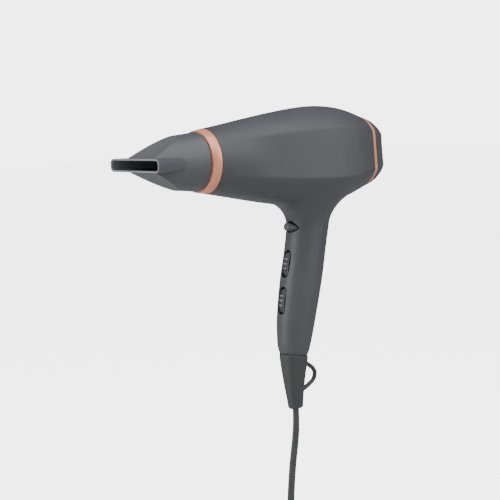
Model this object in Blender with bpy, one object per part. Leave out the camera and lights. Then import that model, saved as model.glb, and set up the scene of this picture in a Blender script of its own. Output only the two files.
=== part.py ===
"""Pistol-shaped hair dryer with a slot nozzle, its inner works, its lead and a safety plug.

Metres, +Z up. The barrel lies along X with its nozzle towards -X, and the handle hangs down -Z.
The origin is in the middle of the hand grip. The middle plane y = 0 is where the two housing
shells meet. Distances called s are measured along the barrel, back from the shells' front edge.
"""
import math

import bmesh
import bpy
from mathutils import Matrix, Vector

GAP = 0.0003                 # between neighbouring pieces that touch on the real object
AXIS_Z = 0.118               # height of the barrel's axis above the grip
FRONT_X = -0.106             # front edge of the housing shells

# Barrel: radius at distance s behind the front edge, with a shallow flat along each side.
BARREL = [(-0.012, 0.0274), (0.0, 0.0291), (0.020, 0.0322), (0.048, 0.0369), (0.076, 0.0412),
          (0.104, 0.0447), (0.126, 0.0459), (0.142, 0.0449), (0.155, 0.0427), (0.167, 0.0392),
          (0.1755, 0.0362), (0.184, 0.0336), (0.190, 0.0318)]
BARREL_END = 0.1755
BELLY = [(-0.030, 0.0), (0.0, 0.0), (0.015, 0.0006), (0.040, 0.0015), (0.070, 0.0024), (0.100, 0.0026),
         (0.130, 0.0012), (0.150, 0.0), (0.220, 0.0)]   # how much deeper the underside is
FLAT_ANGLE = math.radians(86)    # direction of a flat's middle, from straight up
FLAT_HALF = math.radians(31)     # half of the angle that a flat takes
FLAT_FADE = 0.060                # the flats reach full depth this far behind the front edge
WALL = 0.0022

# Handle: height, centre x and half depth along X. Its half width is a fixed share of the depth.
HANDLE = [(-0.069, -0.0121, 0.0134), (-0.067, -0.0119, 0.0148), (-0.059, -0.0110, 0.0166),
          (-0.034, -0.0070, 0.0195), (0.001, 0.0001, 0.0211), (0.031, 0.0064, 0.0208),
          (0.060, 0.0117, 0.0214), (0.090, 0.0160, 0.0218)]
HANDLE_WIDTH = 0.81
HANDLE_POWER = 2.2               # superellipse power of the section
HANDLE_FOOT_TILT = math.radians(9)

# Fillets under the barrel: start height, radius and the share of the radius that it climbs.
FRONT_FILLET = (0.0500, 0.022, 0.985)
REAR_FILLET = (0.0535, 0.0185, 0.985)
SIDE_FILLET = (0.0620, 0.021, 0.80)
SHELL_STATIONS = [0.012, 0.027, 0.044, 0.060, 0.076, 0.092, 0.108, 0.122, 0.135, 0.147, 0.158, 0.169]
GRIP_HEIGHTS = [-0.055, -0.040, -0.020, 0.001, 0.022, 0.041, 0.050, 0.056, 0.061, 0.065, 0.0685,
                0.0715, 0.0740, 0.0765, 0.0800, 0.088]

RING_LENGTH = 0.009
RING_BORE = 0.0252
NOZZLE_LENGTH = 0.0725           # mouth to the shells' front edge
NOZZLE_WALL = 0.0016
NOZZLE_ROUND = [(-0.0093, 0.0265), (-0.016, 0.0256), (-0.023, 0.0249), (-0.031, 0.0242),
                (-0.061, 0.0225), (-0.070, 0.0220)]
WEDGE_START = (-0.0187, 0.0306)  # the wedge faces fall from here to the bill
WEDGE_END = (-0.066, 0.0054)
BILL_HALF_WIDTH = 0.0393
BILL_HALF_HEIGHT = 0.0058
BILL_FLARE = 0.40                # half width gained for each unit of length towards the mouth
BILL_CORNER = 0.0046

ROCKERS = {"speed": (-0.0174, 0.0175, math.radians(11.5)), "heat": (-0.0238, -0.0166, math.radians(9))}
ROCKER_SIZE = (0.0248, 0.0086)   # length along the handle, width
ROCKER_PIVOT_DEPTH = 0.0064
SLOT_SIZE = (0.0266, 0.0100)
COOL_SHOT = (-0.0107, 0.0516, math.radians(12))
BUTTON_RADIUS = 0.005
BUTTON_PROUD = 0.0036

HEATER_START = 0.0125
HEATER_END = 0.0755
COIL_RADIUS = 0.0206
DUCT = (0.080, 0.146, 0.0336)    # start, end and outer radius
MOTOR = (0.085, 0.124, 0.0158)
FAN = (0.128, 0.141, 0.0316)

SCREW_SPOTS = {"housing_screw_upper": (0.046, 0.156), "housing_screw_middle": (0.0225, 0.047),
               "housing_screw_lower": (0.0045, -0.040)}
BOSS_RADIUS = 0.0034
SCREW_HEAD_Y = 0.0053
CLAMP_Z = -0.052

RELIEF_TOP_Z = -0.0695
RELIEF_BOTTOM_Z = -0.1216
LOOP_RADIUS = 0.00165

# Lead: the route of its straight stretch, then the hank and the plug that hang below it.
CORD_RADIUS = 0.0027             # round, with the section of the flat two-core lead of 6.8 by 3.8 mm
CORD_ROUTE = [(-0.0113, 0, -0.1219), (-0.0114, 0, -0.1315), (-0.0119, 0, -0.1419),
              (-0.0133, 0, -0.1534), (-0.0153, 0, -0.1647), (-0.0172, 0, -0.1761),
              (-0.0187, 0, -0.1877), (-0.0200, 0, -0.1990), (-0.0207, 0, -0.2070),
              (-0.0207, 0.0017, -0.2151), (-0.0207, 0.0052, -0.2217), (-0.0207, 0.0098, -0.2269)]
HANK_CENTRE = Vector((-0.0137, 0, -0.2868))
HANK_HALF = (0.0108, 0.0304, 0.0584)
TIE_DROP = -0.0067               # the tie sits this far from the hank's middle
PLUG_ROUTE = [(0.0027, 0.0093, -0.2863), (0.0059, 0.0055, -0.2940), (0.0082, 0.0028, -0.3005),
              (0.0098, 0.0008, -0.3071), (0.0105, 0.0001, -0.3124), (0.0105, 0, -0.3136)]
PLUG_CENTRE = Vector((0.0105, 0, -0.3560))
PLUG_HALF = (0.0128, 0.0190, 0.0225)


# ---- shared helpers ----------------------------------------------------------------------

def clear_scene():
    for obj in list(bpy.data.objects):
        bpy.data.objects.remove(obj, do_unlink=True)


def material(name, colour, roughness, metallic=0.0):
    made = bpy.data.materials.new(name)
    made.use_nodes = True
    shader = made.node_tree.nodes["Principled BSDF"]
    shader.inputs["Base Color"].default_value = (*colour, 1)
    shader.inputs["Roughness"].default_value = roughness
    shader.inputs["Metallic"].default_value = metallic
    made.diffuse_color = (*colour, 1)
    return made


def add_object(name, mesh, look=None, smooth=35):
    obj = bpy.data.objects.new(name, mesh)
    bpy.context.scene.collection.objects.link(obj)
    if look:
        mesh.materials.append(look)
    mesh.shade_smooth()
    mesh.set_sharp_from_angle(angle=math.radians(smooth))
    return obj


def from_bmesh(name, bm, look=None):
    bmesh.ops.recalc_face_normals(bm, faces=bm.faces)
    mesh = bpy.data.meshes.new(name)
    bm.to_mesh(mesh)
    bm.free()
    return add_object(name, mesh, look)


def smooth(table, position):
    """Value at a position on the smooth curve through a table of (position, value) pairs."""
    last = len(table) - 2
    i = next((k for k in range(last) if position <= table[k + 1][0]), last)
    (x0, y0), (x1, y1) = table[i], table[i + 1]
    before = table[max(i - 1, 0)]
    after = table[min(i + 2, len(table) - 1)]
    slope0 = (y1 - before[1]) / (x1 - before[0])
    slope1 = (after[1] - y0) / (after[0] - x0)
    t = (position - x0) / (x1 - x0)
    h = x1 - x0
    rise = (2 * t - 3) * t * t
    return y0 * (1 + rise) - y1 * rise + h * slope0 * t * (1 - t) ** 2 - h * slope1 * t * t * (1 - t)


def ease(t):
    t = min(max(t, 0.0), 1.0)
    return t * t * (3 - 2 * t)


def add_loft(bm, rings):
    """A closed solid through rings of equal point counts, with flat ends."""
    made = [[bm.verts.new(p) for p in ring] for ring in rings]
    count = len(made[0])
    for low, high in zip(made, made[1:]):
        for k in range(count):
            n = (k + 1) % count
            bm.faces.new((low[k], low[n], high[n], high[k]))
    bm.faces.new(made[0])
    bm.faces.new(made[-1])


def loft(name, rings, look=None):
    bm = bmesh.new()
    add_loft(bm, rings)
    return from_bmesh(name, bm, look)


def loop_solid(name, rings, look=None):
    """A ring-shaped solid: the rings follow its section round, and the last joins the first."""
    bm = bmesh.new()
    made = [[bm.verts.new(p) for p in ring] for ring in rings]
    count = len(made[0])
    for i, low in enumerate(made):
        high = made[(i + 1) % len(made)]
        for k in range(count):
            n = (k + 1) % count
            bm.faces.new((low[k], low[n], high[n], high[k]))
    return from_bmesh(name, bm, look)


def add_turned(bm, profile, place, segments):
    """Turn (along, radius) points about local X. A profile off the axis closes into a ring."""
    closed = profile[0][1] > 0
    verts = [bm.verts.new((along, radius, 0)) for along, radius in profile]
    edges = [bm.edges.new(pair) for pair in zip(verts, verts[1:])]
    if closed:
        edges.append(bm.edges.new((verts[-1], verts[0])))
    before = set(bm.verts) - set(verts)
    bmesh.ops.spin(bm, geom=verts + edges, axis=(1, 0, 0), cent=(0, 0, 0), angle=2 * math.pi,
                   steps=segments, use_merge=True)
    new = [v for v in bm.verts if v not in before]
    bmesh.ops.remove_doubles(bm, verts=new, dist=1e-6)
    new = [v for v in bm.verts if v not in before]
    bmesh.ops.transform(bm, matrix=place, verts=new)


def turned(name, profile, look=None, place=None, segments=28):
    bm = bmesh.new()
    add_turned(bm, profile, place or Matrix.Translation((FRONT_X, 0, AXIS_Z)), segments)
    return from_bmesh(name, bm, look)


def add_box(bm, centre, size, turn=0.0):
    """A box whose size is full lengths, turned about Y through its centre."""
    place = Matrix.Translation(centre) @ Matrix.Rotation(turn, 4, "Y") @ Matrix.Diagonal((*size, 1))
    bmesh.ops.create_cube(bm, size=1, matrix=place)


def box(name, centre, size, look=None, turn=0.0, bevel=0.0):
    bm = bmesh.new()
    add_box(bm, centre, size, turn)
    if bevel:
        bmesh.ops.bevel(bm, geom=bm.edges[:], offset=bevel, segments=2, profile=0.5, affect="EDGES")
    return from_bmesh(name, bm, look)


def rod(bm, start, end, radius, segments=12):
    """A round bar between two points."""
    start, end = Vector(start), Vector(end)
    along = end - start
    place = Matrix.Translation(start) @ along.to_track_quat("X", "Z").to_matrix().to_4x4()
    length = along.length
    add_turned(bm, [(0, 0), (0, radius), (length, radius), (length, 0)], place, segments)


def boolean(obj, other, operation="DIFFERENCE"):
    """Cut, join or keep the common part, and leave the other object as a hidden guide."""
    step = obj.modifiers.new(other.name, "BOOLEAN")
    step.operation = operation
    step.object = other
    other.hide_render = True
    other.display_type = "WIRE"


def curve_points(route, spacing):
    """Evenly spread points on a smooth curve through the route's points."""
    points = [Vector(p) for p in route]
    ends = [points[0] * 2 - points[1]] + points + [points[-1] * 2 - points[-2]]
    fine = []
    for a, b, c, d in zip(ends, ends[1:], ends[2:], ends[3:]):
        for k in range(12):
            t = k / 12
            fine.append(0.5 * (2 * b + (c - a) * t + (2 * a - 5 * b + 4 * c - d) * t * t
                               + (3 * b - a - 3 * c + d) * t ** 3))
    fine.append(points[-1])
    total = sum((q - p).length for p, q in zip(fine, fine[1:]))
    count = max(round(total / spacing), 2)
    spread = [fine[0]]
    travelled = 0.0
    for p, q in zip(fine, fine[1:]):
        travelled += (q - p).length
        if travelled >= total * len(spread) / count and len(spread) < count:
            spread.append(q)
    return spread + [fine[-1]]


def tube(name, points, radius, look, resolution=2):
    """A round tube with filled ends along a list of points."""
    data = bpy.data.curves.new(name, "CURVE")
    data.dimensions = "3D"
    data.bevel_depth = radius
    data.bevel_resolution = resolution
    data.use_fill_caps = True
    line = data.splines.new("POLY")
    line.points.add(len(points) - 1)
    for spot, p in zip(line.points, points):
        spot.co = (*p, 1)
    obj = bpy.data.objects.new(name, data)
    bpy.context.scene.collection.objects.link(obj)
    data.materials.append(look)
    return obj


# ---- sections of the barrel and the handle -----------------------------------------------

def ring_angles():
    """Angles from straight up, over the -Y side and round again, with points at the flats' edges."""
    upper, lower = FLAT_ANGLE - FLAT_HALF, FLAT_ANGLE + FLAT_HALF
    side = [upper * k / 5 for k in range(5)]
    side += [upper + (lower - upper) * k / 4 for k in range(4)]
    side += [lower + (math.pi - lower) * k / 5 for k in range(6)]
    return side + [2 * math.pi - a for a in reversed(side[1:-1])]


def barrel_ring(s, inset=0.0):
    """Points round the barrel at distance s, moved inwards by inset."""
    radius = smooth(BARREL, s)
    depth = ease(s / FLAT_FADE)
    points = []
    for angle in ring_angles():
        folded = min(angle, 2 * math.pi - angle)
        off = abs(folded - FLAT_ANGLE)
        chord = math.cos(FLAT_HALF) / math.cos(off) if off < FLAT_HALF else 1.0
        sag = smooth(BELLY, s) * ease((folded - math.radians(105)) / math.radians(60))
        r = radius * (1 + depth * (chord - 1)) + sag - inset
        points.append(Vector((FRONT_X + s, -r * math.sin(angle), AXIS_Z + r * math.cos(angle))))
    return points


def flare(z, fillet):
    """How far a side has spread at height z on its way into the barrel."""
    start, radius, share = fillet
    climb = min(max(z - start, 0.0), radius * share)
    return radius - math.sqrt(radius * radius - climb * climb)


def handle_ring(z, inset=0.0):
    """Points round the handle at height z: front half and rear half spread into the barrel."""
    centre = smooth([(h, x) for h, x, _ in HANDLE], z)
    half = smooth([(h, a) for h, _, a in HANDLE], z)
    tilt = math.tan(HANDLE_FOOT_TILT) * (1 - ease((z + 0.069) / 0.050))
    points = []
    for k in range(28):
        angle = 2 * math.pi * k / 28
        c, s = math.cos(angle), math.sin(angle)
        spread = flare(z, REAR_FILLET) if c > 0 else flare(z, FRONT_FILLET)
        deep = half + spread * abs(c) ** 0.5 - inset
        wide = half * HANDLE_WIDTH + flare(z, SIDE_FILLET) - inset
        x = deep * math.copysign(abs(c) ** (2 / HANDLE_POWER), c)
        y = wide * math.copysign(abs(s) ** (2 / HANDLE_POWER), s)
        points.append(Vector((centre + x, y, z - x * tilt)))
    return points


def spot_on_handle(spot, depth=0.0):
    """Frame at a control on the handle's front: local +X points straight into the handle."""
    x, z, tilt = spot
    place = Matrix.Translation((x, 0, z)) @ Matrix.Rotation(tilt, 4, "Y")
    return place @ Matrix.Translation((depth, 0, 0))


# ---- housing -----------------------------------------------------------------------------

def stadium(length, width, steps=5):
    """Outline of a slot with round ends, as (along, across) pairs."""
    r = width / 2
    half = length / 2 - r
    ends = [(half, 0.0), (-half, math.pi)]
    return [(c + r * math.cos(a0 - math.pi / 2 + math.pi * k / steps),
             r * math.sin(a0 - math.pi / 2 + math.pi * k / steps))
            for c, a0 in ends for k in range(steps + 1)]


def slot_prism(bm, place, length, width, near, far):
    """A slot-shaped solid from near to far along local X, long along local Z."""
    rings = [[place @ Vector((x, y, z)) for z, y in stadium(length, width)] for x in (near, far)]
    add_loft(bm, rings)


def control_openings():
    """Slots for the rockers, the cool-shot button's hole and the scoop round it."""
    bm = bmesh.new()
    for spot in ROCKERS.values():
        slot_prism(bm, spot_on_handle(spot), *SLOT_SIZE, -0.006, 0.008)
    hole = BUTTON_RADIUS + 0.0005
    scoop = [(-0.009, 0), (-0.009, 0.0120), (0.0026, hole), (0.012, hole), (0.012, 0)]
    add_turned(bm, scoop, spot_on_handle(COOL_SHOT), 20)
    return from_bmesh("control_openings", bm)


def screw_bosses():
    bm = bmesh.new()
    for x, z in SCREW_SPOTS.values():
        rod(bm, (x, -0.044, z), (x, 0.044, z), BOSS_RADIUS)
    return from_bmesh("screw_bosses", bm)


def screw_holes():
    """Pilot holes from the middle plane, and the wide bores that the heads sink into."""
    bm = bmesh.new()
    for x, z in SCREW_SPOTS.values():
        place = Matrix.Translation((x, 0, z)) @ Matrix.Rotation(math.pi / 2, 4, "Z")
        profile = [(-0.010, 0), (-0.010, 0.0016), (SCREW_HEAD_Y - GAP, 0.0016),
                   (SCREW_HEAD_Y - GAP, 0.0031), (0.050, 0.0031), (0.050, 0)]
        add_turned(bm, profile, place, 12)
    return from_bmesh("screw_holes", bm)


def cavity():
    """The hollow inside both shells, open at the front, at the rear and under the handle."""
    hollow = loft("cavity", [barrel_ring(s, WALL) for s in [-0.004, *SHELL_STATIONS, BARREL_END + 0.005]])
    grip = loft("handle_cavity", [handle_ring(z, WALL) for z in [-0.063, *GRIP_HEIGHTS]])
    rim = WALL + 0.0028
    below = [p - Vector((0, 0, 0.012)) for p in handle_ring(-0.067, rim)]
    mouth = loft("handle_mouth", [below, handle_ring(-0.0655, rim), handle_ring(-0.050, rim)])
    boolean(hollow, grip, "UNION")
    boolean(hollow, mouth, "UNION")
    boolean(hollow, screw_bosses())
    return hollow


def housing_shell(name, side, hollow, openings, holes, look):
    """One of the two shells. Side is -1 for the left one, at -Y, and 1 for the right one."""
    shell = loft(name, [barrel_ring(s) for s in [0.0, *SHELL_STATIONS, BARREL_END]], look)
    grip = loft(name + "_grip", [handle_ring(z) for z in [-0.069, -0.067, -0.063, *GRIP_HEIGHTS]])
    half = box(name + "_half", (0, side * (0.1 + GAP / 2), 0), (0.6, 0.2, 0.6))
    boolean(shell, grip, "UNION")
    boolean(shell, half, "INTERSECT")
    boolean(shell, hollow)
    boolean(shell, openings)
    boolean(shell, holes)


def front_ring(look):
    """Trim ring round the outlet, with a spigot that sits inside the shells."""
    profile = [(-RING_LENGTH, RING_BORE), (-RING_LENGTH, 0.0270), (-0.0086, 0.0275),
               (-GAP, 0.0290), (-GAP, 0.0265), (0.006, 0.0265), (0.006, RING_BORE)]
    turned("front_ring", profile, look, segments=36)


def rear_ring(look):
    """Thin trim ring that carries the barrel's outline on to the rear cover."""
    start, end = BARREL_END + GAP, BARREL_END + 0.0043
    rings = [barrel_ring(start, 0.0026), barrel_ring(start), barrel_ring(end), barrel_ring(end, 0.0026)]
    loop_solid("rear_ring", rings, look)


def grille_slots(x0, x1, radii, spokes, rib):
    """Curved slots between rings and spokes, as solids from x0 to x1 along the barrel."""
    bm = bmesh.new()
    steps = 3
    for inner, outer in radii:
        for k in range(spokes):
            margin = rib / 2 / inner
            start = 2 * math.pi * k / spokes + margin
            sweep = 2 * math.pi / spokes - 2 * margin
            rings = []
            for i in range(steps + 1):
                a = start + sweep * i / steps
                out = Vector((0, math.sin(a), math.cos(a)))
                centre = Vector((FRONT_X, 0, AXIS_Z))
                rings.append([centre + Vector((x, 0, 0)) + out * r
                              for x, r in ((x0, inner), (x1, inner), (x1, outer), (x0, outer))])
            add_loft(bm, rings)
    return from_bmesh("grille_slots", bm)


def cover_ring(s, inset):
    """Ring of the rear cover. Its end stands straight out behind the last part of the barrel's form."""
    reach = min(s, BARREL[-1][0])
    return [p + Vector((s - reach, 0, 0)) for p in barrel_ring(reach, inset)]


def rear_cover(look):
    """Pull-off intake cover: a slotted end, an outer wall and a straight skirt that plugs into the barrel."""
    start = BARREL_END + 0.0046
    outer = [(0.1942, 0.0058), (0.1930, 0.0034), (0.1905, 0.0014), (0.187, 0.0002), (start, 0.0)]
    inner = [(0.1840, 0.0046), (0.1870, 0.0026), (0.1900, 0.0036), (0.1915, 0.0058)]
    forward = Vector((BARREL_END - 0.0040 - start, 0, 0))
    skirt = [barrel_ring(start, 0.0034)]
    skirt += [[p + forward for p in barrel_ring(start, inset)] for inset in (0.0034, 0.0050)]
    rings = [cover_ring(s, inset) for s, inset in outer] + skirt
    rings += [cover_ring(s, inset) for s, inset in inner]
    cover = loft("rear_cover", rings, look)
    radii = [(0.0060, 0.0092), (0.0114, 0.0146), (0.0168, 0.0200)]
    boolean(cover, grille_slots(0.188, 0.198, radii, 8, 0.0020))


def filter_screen(look):
    """Fine lint screen in a thin rim, just inside the rear cover's end."""
    profile = [(0.1898, 0), (0.1898, 0.0208), (0.1886, 0.0208), (0.1886, 0.0225), (0.1904, 0.0225),
               (0.1904, 0)]
    turned("filter_screen", profile, look)


# ---- nozzle ------------------------------------------------------------------------------

def bill_ring(s, inset):
    """Rounded slot section of the bill at distance s, which is negative in front of the shells."""
    wide = BILL_HALF_WIDTH - BILL_FLARE * (s + NOZZLE_LENGTH) - inset
    high = BILL_HALF_HEIGHT - inset
    corner = max(BILL_CORNER - inset, 0.001)
    points = []
    for sy, sz, a0 in ((1, 1, 0), (-1, 1, 90), (-1, -1, 180), (1, -1, 270)):
        for k in range(4):
            a = math.radians(a0 + 30 * k)
            points.append(Vector((FRONT_X + s, sy * (wide - corner) + corner * math.cos(a),
                                  AXIS_Z + sz * (high - corner) + corner * math.sin(a))))
    return points


def nozzle_body(name, inset, look=None):
    """Solid form of the nozzle: a round cone cut by two wedge faces, with the bill through it."""
    sleeve = NOZZLE_ROUND[0][0]
    neck = 0.0249 - inset
    if inset:
        profile = [(0.0065, 0), (0.0065, neck), (sleeve, neck)]
        profile += [(s, r - inset) for s, r in NOZZLE_ROUND[2:]]
    else:
        profile = [(0.003, 0), (0.003, neck), (sleeve, neck)] + NOZZLE_ROUND
    body = turned(name, profile + [(-0.070, 0)], look, segments=36)
    slope = math.atan2(WEDGE_START[1] - WEDGE_END[1], WEDGE_START[0] - WEDGE_END[0])
    drop = inset / math.cos(slope)
    outline = [(0.010, 0.032), (WEDGE_START[0], WEDGE_START[1] - drop), (WEDGE_END[0], WEDGE_END[1] - drop)]
    outline += [(s, -z) for s, z in reversed(outline)]
    rings = [[Vector((FRONT_X + s, y, AXIS_Z + z)) for s, z in outline] for y in (-0.05, 0.05)]
    boolean(body, loft(name + "_wedge", rings), "INTERSECT")
    mouth = -NOZZLE_LENGTH - (0.003 if inset else 0)
    stations = [-0.028, -0.043, -0.058, mouth]
    boolean(body, loft(name + "_bill", [bill_ring(s, inset) for s in stations]), "UNION")
    return body


def concentrator_nozzle(look):
    """Hollow push-on nozzle that narrows the round outlet to a wide slot."""
    nozzle = nozzle_body("concentrator_nozzle", 0.0, look)
    boolean(nozzle, nozzle_body("nozzle_hollow", NOZZLE_WALL))


# ---- air path, heater and motor ----------------------------------------------------------

def outlet_grille(look):
    """Ring-and-spoke guard in front of the heater."""
    plate = turned("outlet_grille", [(0.0068, 0), (0.0068, 0.0262), (0.0092, 0.0262), (0.0092, 0)], look)
    radii = [(0.0045, 0.0095), (0.0112, 0.0162), (0.0179, 0.0232)]
    boolean(plate, grille_slots(0.005, 0.012, radii, 6, 0.0016))


def mica_sleeve(look):
    profile = [(0.012, 0.0232), (0.012, 0.0240), (0.076, 0.0240), (0.076, 0.0232)]
    turned("mica_sleeve", profile, look)


def heater_frame(look):
    """Two crossed mica boards: broad ends that steady them, narrow middles that the wire is wound on."""
    a, b = HEATER_START, HEATER_END
    edge = [(a, 0.0229), (a + 0.004, 0.0229), (a + 0.004, 0.0194), (b - 0.004, 0.0194),
            (b - 0.004, 0.0229), (b, 0.0229)]
    outline = edge + [(s, -r) for s, r in reversed(edge)]
    half = 0.0004
    flat = [[Vector((FRONT_X + s, r, AXIS_Z + t)) for s, r in outline] for t in (-half, half)]
    upright = [[Vector((FRONT_X + s, t, AXIS_Z + r)) for s, r in outline] for t in (-half, half)]
    frame = loft("heater_frame", flat, look)
    boolean(frame, loft("heater_upright", upright), "UNION")


def heater_coil(look):
    """Resistance wire wound round the edges of the mica boards."""
    turns, per_turn = 7, 8
    start, end = HEATER_START + 0.006, HEATER_END - 0.006
    points = []
    for k in range(turns * per_turn + 1):
        a = 2 * math.pi * k / per_turn
        s = start + (end - start) * k / (turns * per_turn)
        points.append((FRONT_X + s, COIL_RADIUS * math.sin(a), AXIS_Z + COIL_RADIUS * math.cos(a)))
    tube("heater_coil", points, 0.0006, look, 0)


def thermostat(look):
    box("thermostat", (FRONT_X + 0.024, 0.0068, AXIS_Z + 0.0068), (0.012, 0.008, 0.008), look, bevel=0.001)


def thermal_fuse(look):
    bm = bmesh.new()
    rod(bm, (FRONT_X + 0.036, -0.007, AXIS_Z + 0.007), (FRONT_X + 0.050, -0.007, AXIS_Z + 0.007), 0.0019)
    from_bmesh("thermal_fuse", bm, look)


def fan_duct(look):
    """Air duct with a cup that holds the motor on seven straightening vanes."""
    start, end, radius = DUCT
    wall = 0.0012
    wall_profile = [(start, radius - wall), (start, radius), (end, radius), (end, radius - wall)]
    duct = turned("fan_duct", wall_profile, look)
    cup = MOTOR[2] + 0.0004
    boolean(duct, vanes(cup + 0.0006, radius - wall / 2), "UNION")
    rim = [(0.084, cup), (0.084, cup + wall), (0.114, cup + wall), (0.114, cup)]
    boolean(duct, turned("motor_cup", rim), "UNION")


def vanes(inner, outer):
    bm = bmesh.new()
    for k in range(7):
        turn = Matrix.Rotation(2 * math.pi * k / 7, 4, "X")
        middle = (inner + outer) / 2
        place = (Matrix.Translation((FRONT_X + 0.099, 0, AXIS_Z)) @ turn
                 @ Matrix.Translation((0, 0, middle)) @ Matrix.Diagonal((0.026, 0.0013, outer - inner, 1)))
        bmesh.ops.create_cube(bm, size=1, matrix=place)
    return from_bmesh("vanes", bm)


def motor_can(look):
    start, end, radius = MOTOR
    profile = [(start, 0), (start, 0.006), (start + 0.001, radius - 0.001), (start + 0.003, radius),
               (end - 0.003, radius), (end - 0.001, radius - 0.001), (end, 0.006), (end, 0.0020),
               (0.105, 0.0020), (0.105, 0)]
    turned("motor_can", profile, look, segments=24)


def motor_shaft(look):
    bm = bmesh.new()
    rod(bm, (FRONT_X + 0.106, 0, AXIS_Z), (FRONT_X + 0.1370, 0, AXIS_Z), 0.0016)
    from_bmesh("motor_shaft", bm, look)


def fan_impeller(look):
    """Axial fan: a domed hub bored for the shaft, and nine twisted blades."""
    start, end, tip = FAN
    hub_radius = 0.0130
    profile = [(end - 0.0030, 0), (end - 0.0030, 0.0020), (start, 0.0020), (start, hub_radius),
               (end - 0.004, hub_radius), (end - 0.001, 0.0100), (end + 0.001, 0.0045), (end + 0.0015, 0)]
    body = turned("fan_impeller", profile, look)
    blades = bmesh.new()
    for k in range(9):
        spin = Matrix.Rotation(2 * math.pi * k / 9, 3, "X")
        rings = []
        for r, pitch in ((0.0120, 52), (0.0185, 42), (0.0250, 34), (tip, 28)):
            lean = math.radians(pitch)
            along = Vector((math.sin(lean), math.cos(lean), 0)) * 0.0062
            thick = Vector((math.cos(lean), -math.sin(lean), 0)) * 0.0005
            middle = Vector(((start + end) / 2 - 0.001, 0, r))
            corners = [middle - along - thick, middle + along - thick, middle + along + thick,
                       middle - along + thick]
            rings.append([spin @ p + Vector((FRONT_X, 0, AXIS_Z)) for p in corners])
        add_loft(blades, rings)
    boolean(body, from_bmesh("blades", blades), "UNION")


def ion_module(look):
    box("ion_module", (FRONT_X + 0.105, 0, AXIS_Z + 0.0367), (0.026, 0.014, 0.0050), look, bevel=0.0008)


def ion_emitter(look):
    """Thin needle from the ion module to the outlet, above the heater's sleeve."""
    bm = bmesh.new()
    rod(bm, (FRONT_X + 0.013, 0, AXIS_Z + 0.0264), (FRONT_X + 0.0915, 0, AXIS_Z + 0.0366), 0.0006, 8)
    from_bmesh("ion_emitter", bm, look)


# ---- controls ----------------------------------------------------------------------------

def rocker(name, spot, look):
    """Three-position rocker with three grip ribs. Its origin is on its pin's axis."""
    length, width = ROCKER_SIZE
    half = length / 2
    depth = ROCKER_PIVOT_DEPTH
    top = []
    for k in range(13):
        z = half - length * k / 12
        top.append((-depth - 0.0003 + 0.0022 * (z / half) ** 2, z))
    outline = top + [(-depth + 0.0050, -half + 0.0012), (-0.0010, -0.0042), (0.0030, -0.0030),
                     (0.0030, 0.0030), (-0.0010, 0.0042), (-depth + 0.0050, half - 0.0012)]
    rings = [[Vector((x, y, z)) for x, z in outline] for y in (-width, width)]
    piece = loft(name, rings, look)
    piece.matrix_world = spot_on_handle(spot, depth)
    ends = bmesh.new()
    slot_prism(ends, Matrix.Identity(4), length, width, -0.010, 0.010)
    rounded = from_bmesh(name + "_ends", ends)
    rounded.matrix_world = piece.matrix_world
    boolean(piece, rounded, "INTERSECT")
    ribs = bmesh.new()
    for z in (-0.0045, 0.0, 0.0045):
        add_box(ribs, (-depth - 0.0003, 0, z), (0.0012, 0.0056, 0.0011))
    guide = from_bmesh(name + "_ribs", ribs)
    guide.matrix_world = piece.matrix_world
    boolean(piece, guide, "UNION")
    bore = bmesh.new()
    rod(bore, (0, -0.006, 0), (0, 0.006, 0), 0.0013)
    hole = from_bmesh(name + "_bore", bore)
    hole.matrix_world = piece.matrix_world
    boolean(piece, hole)


def rocker_pin(name, spot, look):
    """Steel pin that the rocker tilts on, held in the switch body's two ears."""
    bm = bmesh.new()
    rod(bm, (0, -0.0058, 0), (0, 0.0058, 0), 0.0010)
    from_bmesh(name, bm, look).matrix_world = spot_on_handle(spot, ROCKER_PIVOT_DEPTH)


def switch_body(name, spot, look):
    """Switch block behind a rocker, with an ear each side that carries the pin."""
    body = box(name, (0.0115, 0, 0), (0.0090, 0.0132, 0.0210), look)
    ears = bmesh.new()
    for side in (-1, 1):
        add_box(ears, (0.0029, side * 0.0057, 0), (0.0102, 0.0018, 0.0064))
    ears_guide = from_bmesh(name + "_ears", ears)
    bore = bmesh.new()
    rod(bore, (0, -0.010, 0), (0, 0.010, 0), 0.0013)
    bore_guide = from_bmesh(name + "_bore", bore)
    for piece in (body, ears_guide, bore_guide):
        piece.matrix_world = spot_on_handle(spot, ROCKER_PIVOT_DEPTH)
    boolean(body, ears_guide, "UNION")
    boolean(body, bore_guide)


def cool_shot_button(look):
    r = BUTTON_RADIUS
    profile = [(-BUTTON_PROUD, 0), (-BUTTON_PROUD, r - 0.0012), (-BUTTON_PROUD + 0.0004, r - 0.0004),
               (-BUTTON_PROUD + 0.0012, r), (0.0050, r), (0.0050, r + 0.0016), (0.0062, r + 0.0016),
               (0.0062, 0)]
    turned("cool_shot_button", profile, look, spot_on_handle(COOL_SHOT), 24)


def cool_shot_spring(look):
    """Return spring between the button and its switch."""
    place = spot_on_handle(COOL_SHOT)
    turns, per_turn = 4, 8
    start, end = 0.0070, 0.0128
    points = []
    for k in range(turns * per_turn + 1):
        a = 2 * math.pi * k / per_turn
        along = start + (end - start) * k / (turns * per_turn)
        points.append(place @ Vector((along, 0.0036 * math.cos(a), 0.0036 * math.sin(a))))
    tube("cool_shot_spring", points, 0.00035, look, 0)


def cool_shot_switch(look):
    body = box("cool_shot_switch", (0.0168, 0, 0), (0.0065, 0.0110, 0.0130), look, bevel=0.0005)
    body.matrix_world = spot_on_handle(COOL_SHOT)


def wiring_board(look):
    board = box("wiring_board", (0.0256, 0, 0.0010), (0.0016, 0.0200, 0.0560), look)
    board.matrix_world = spot_on_handle((-0.0207, 0.0005, math.radians(11)))


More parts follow.
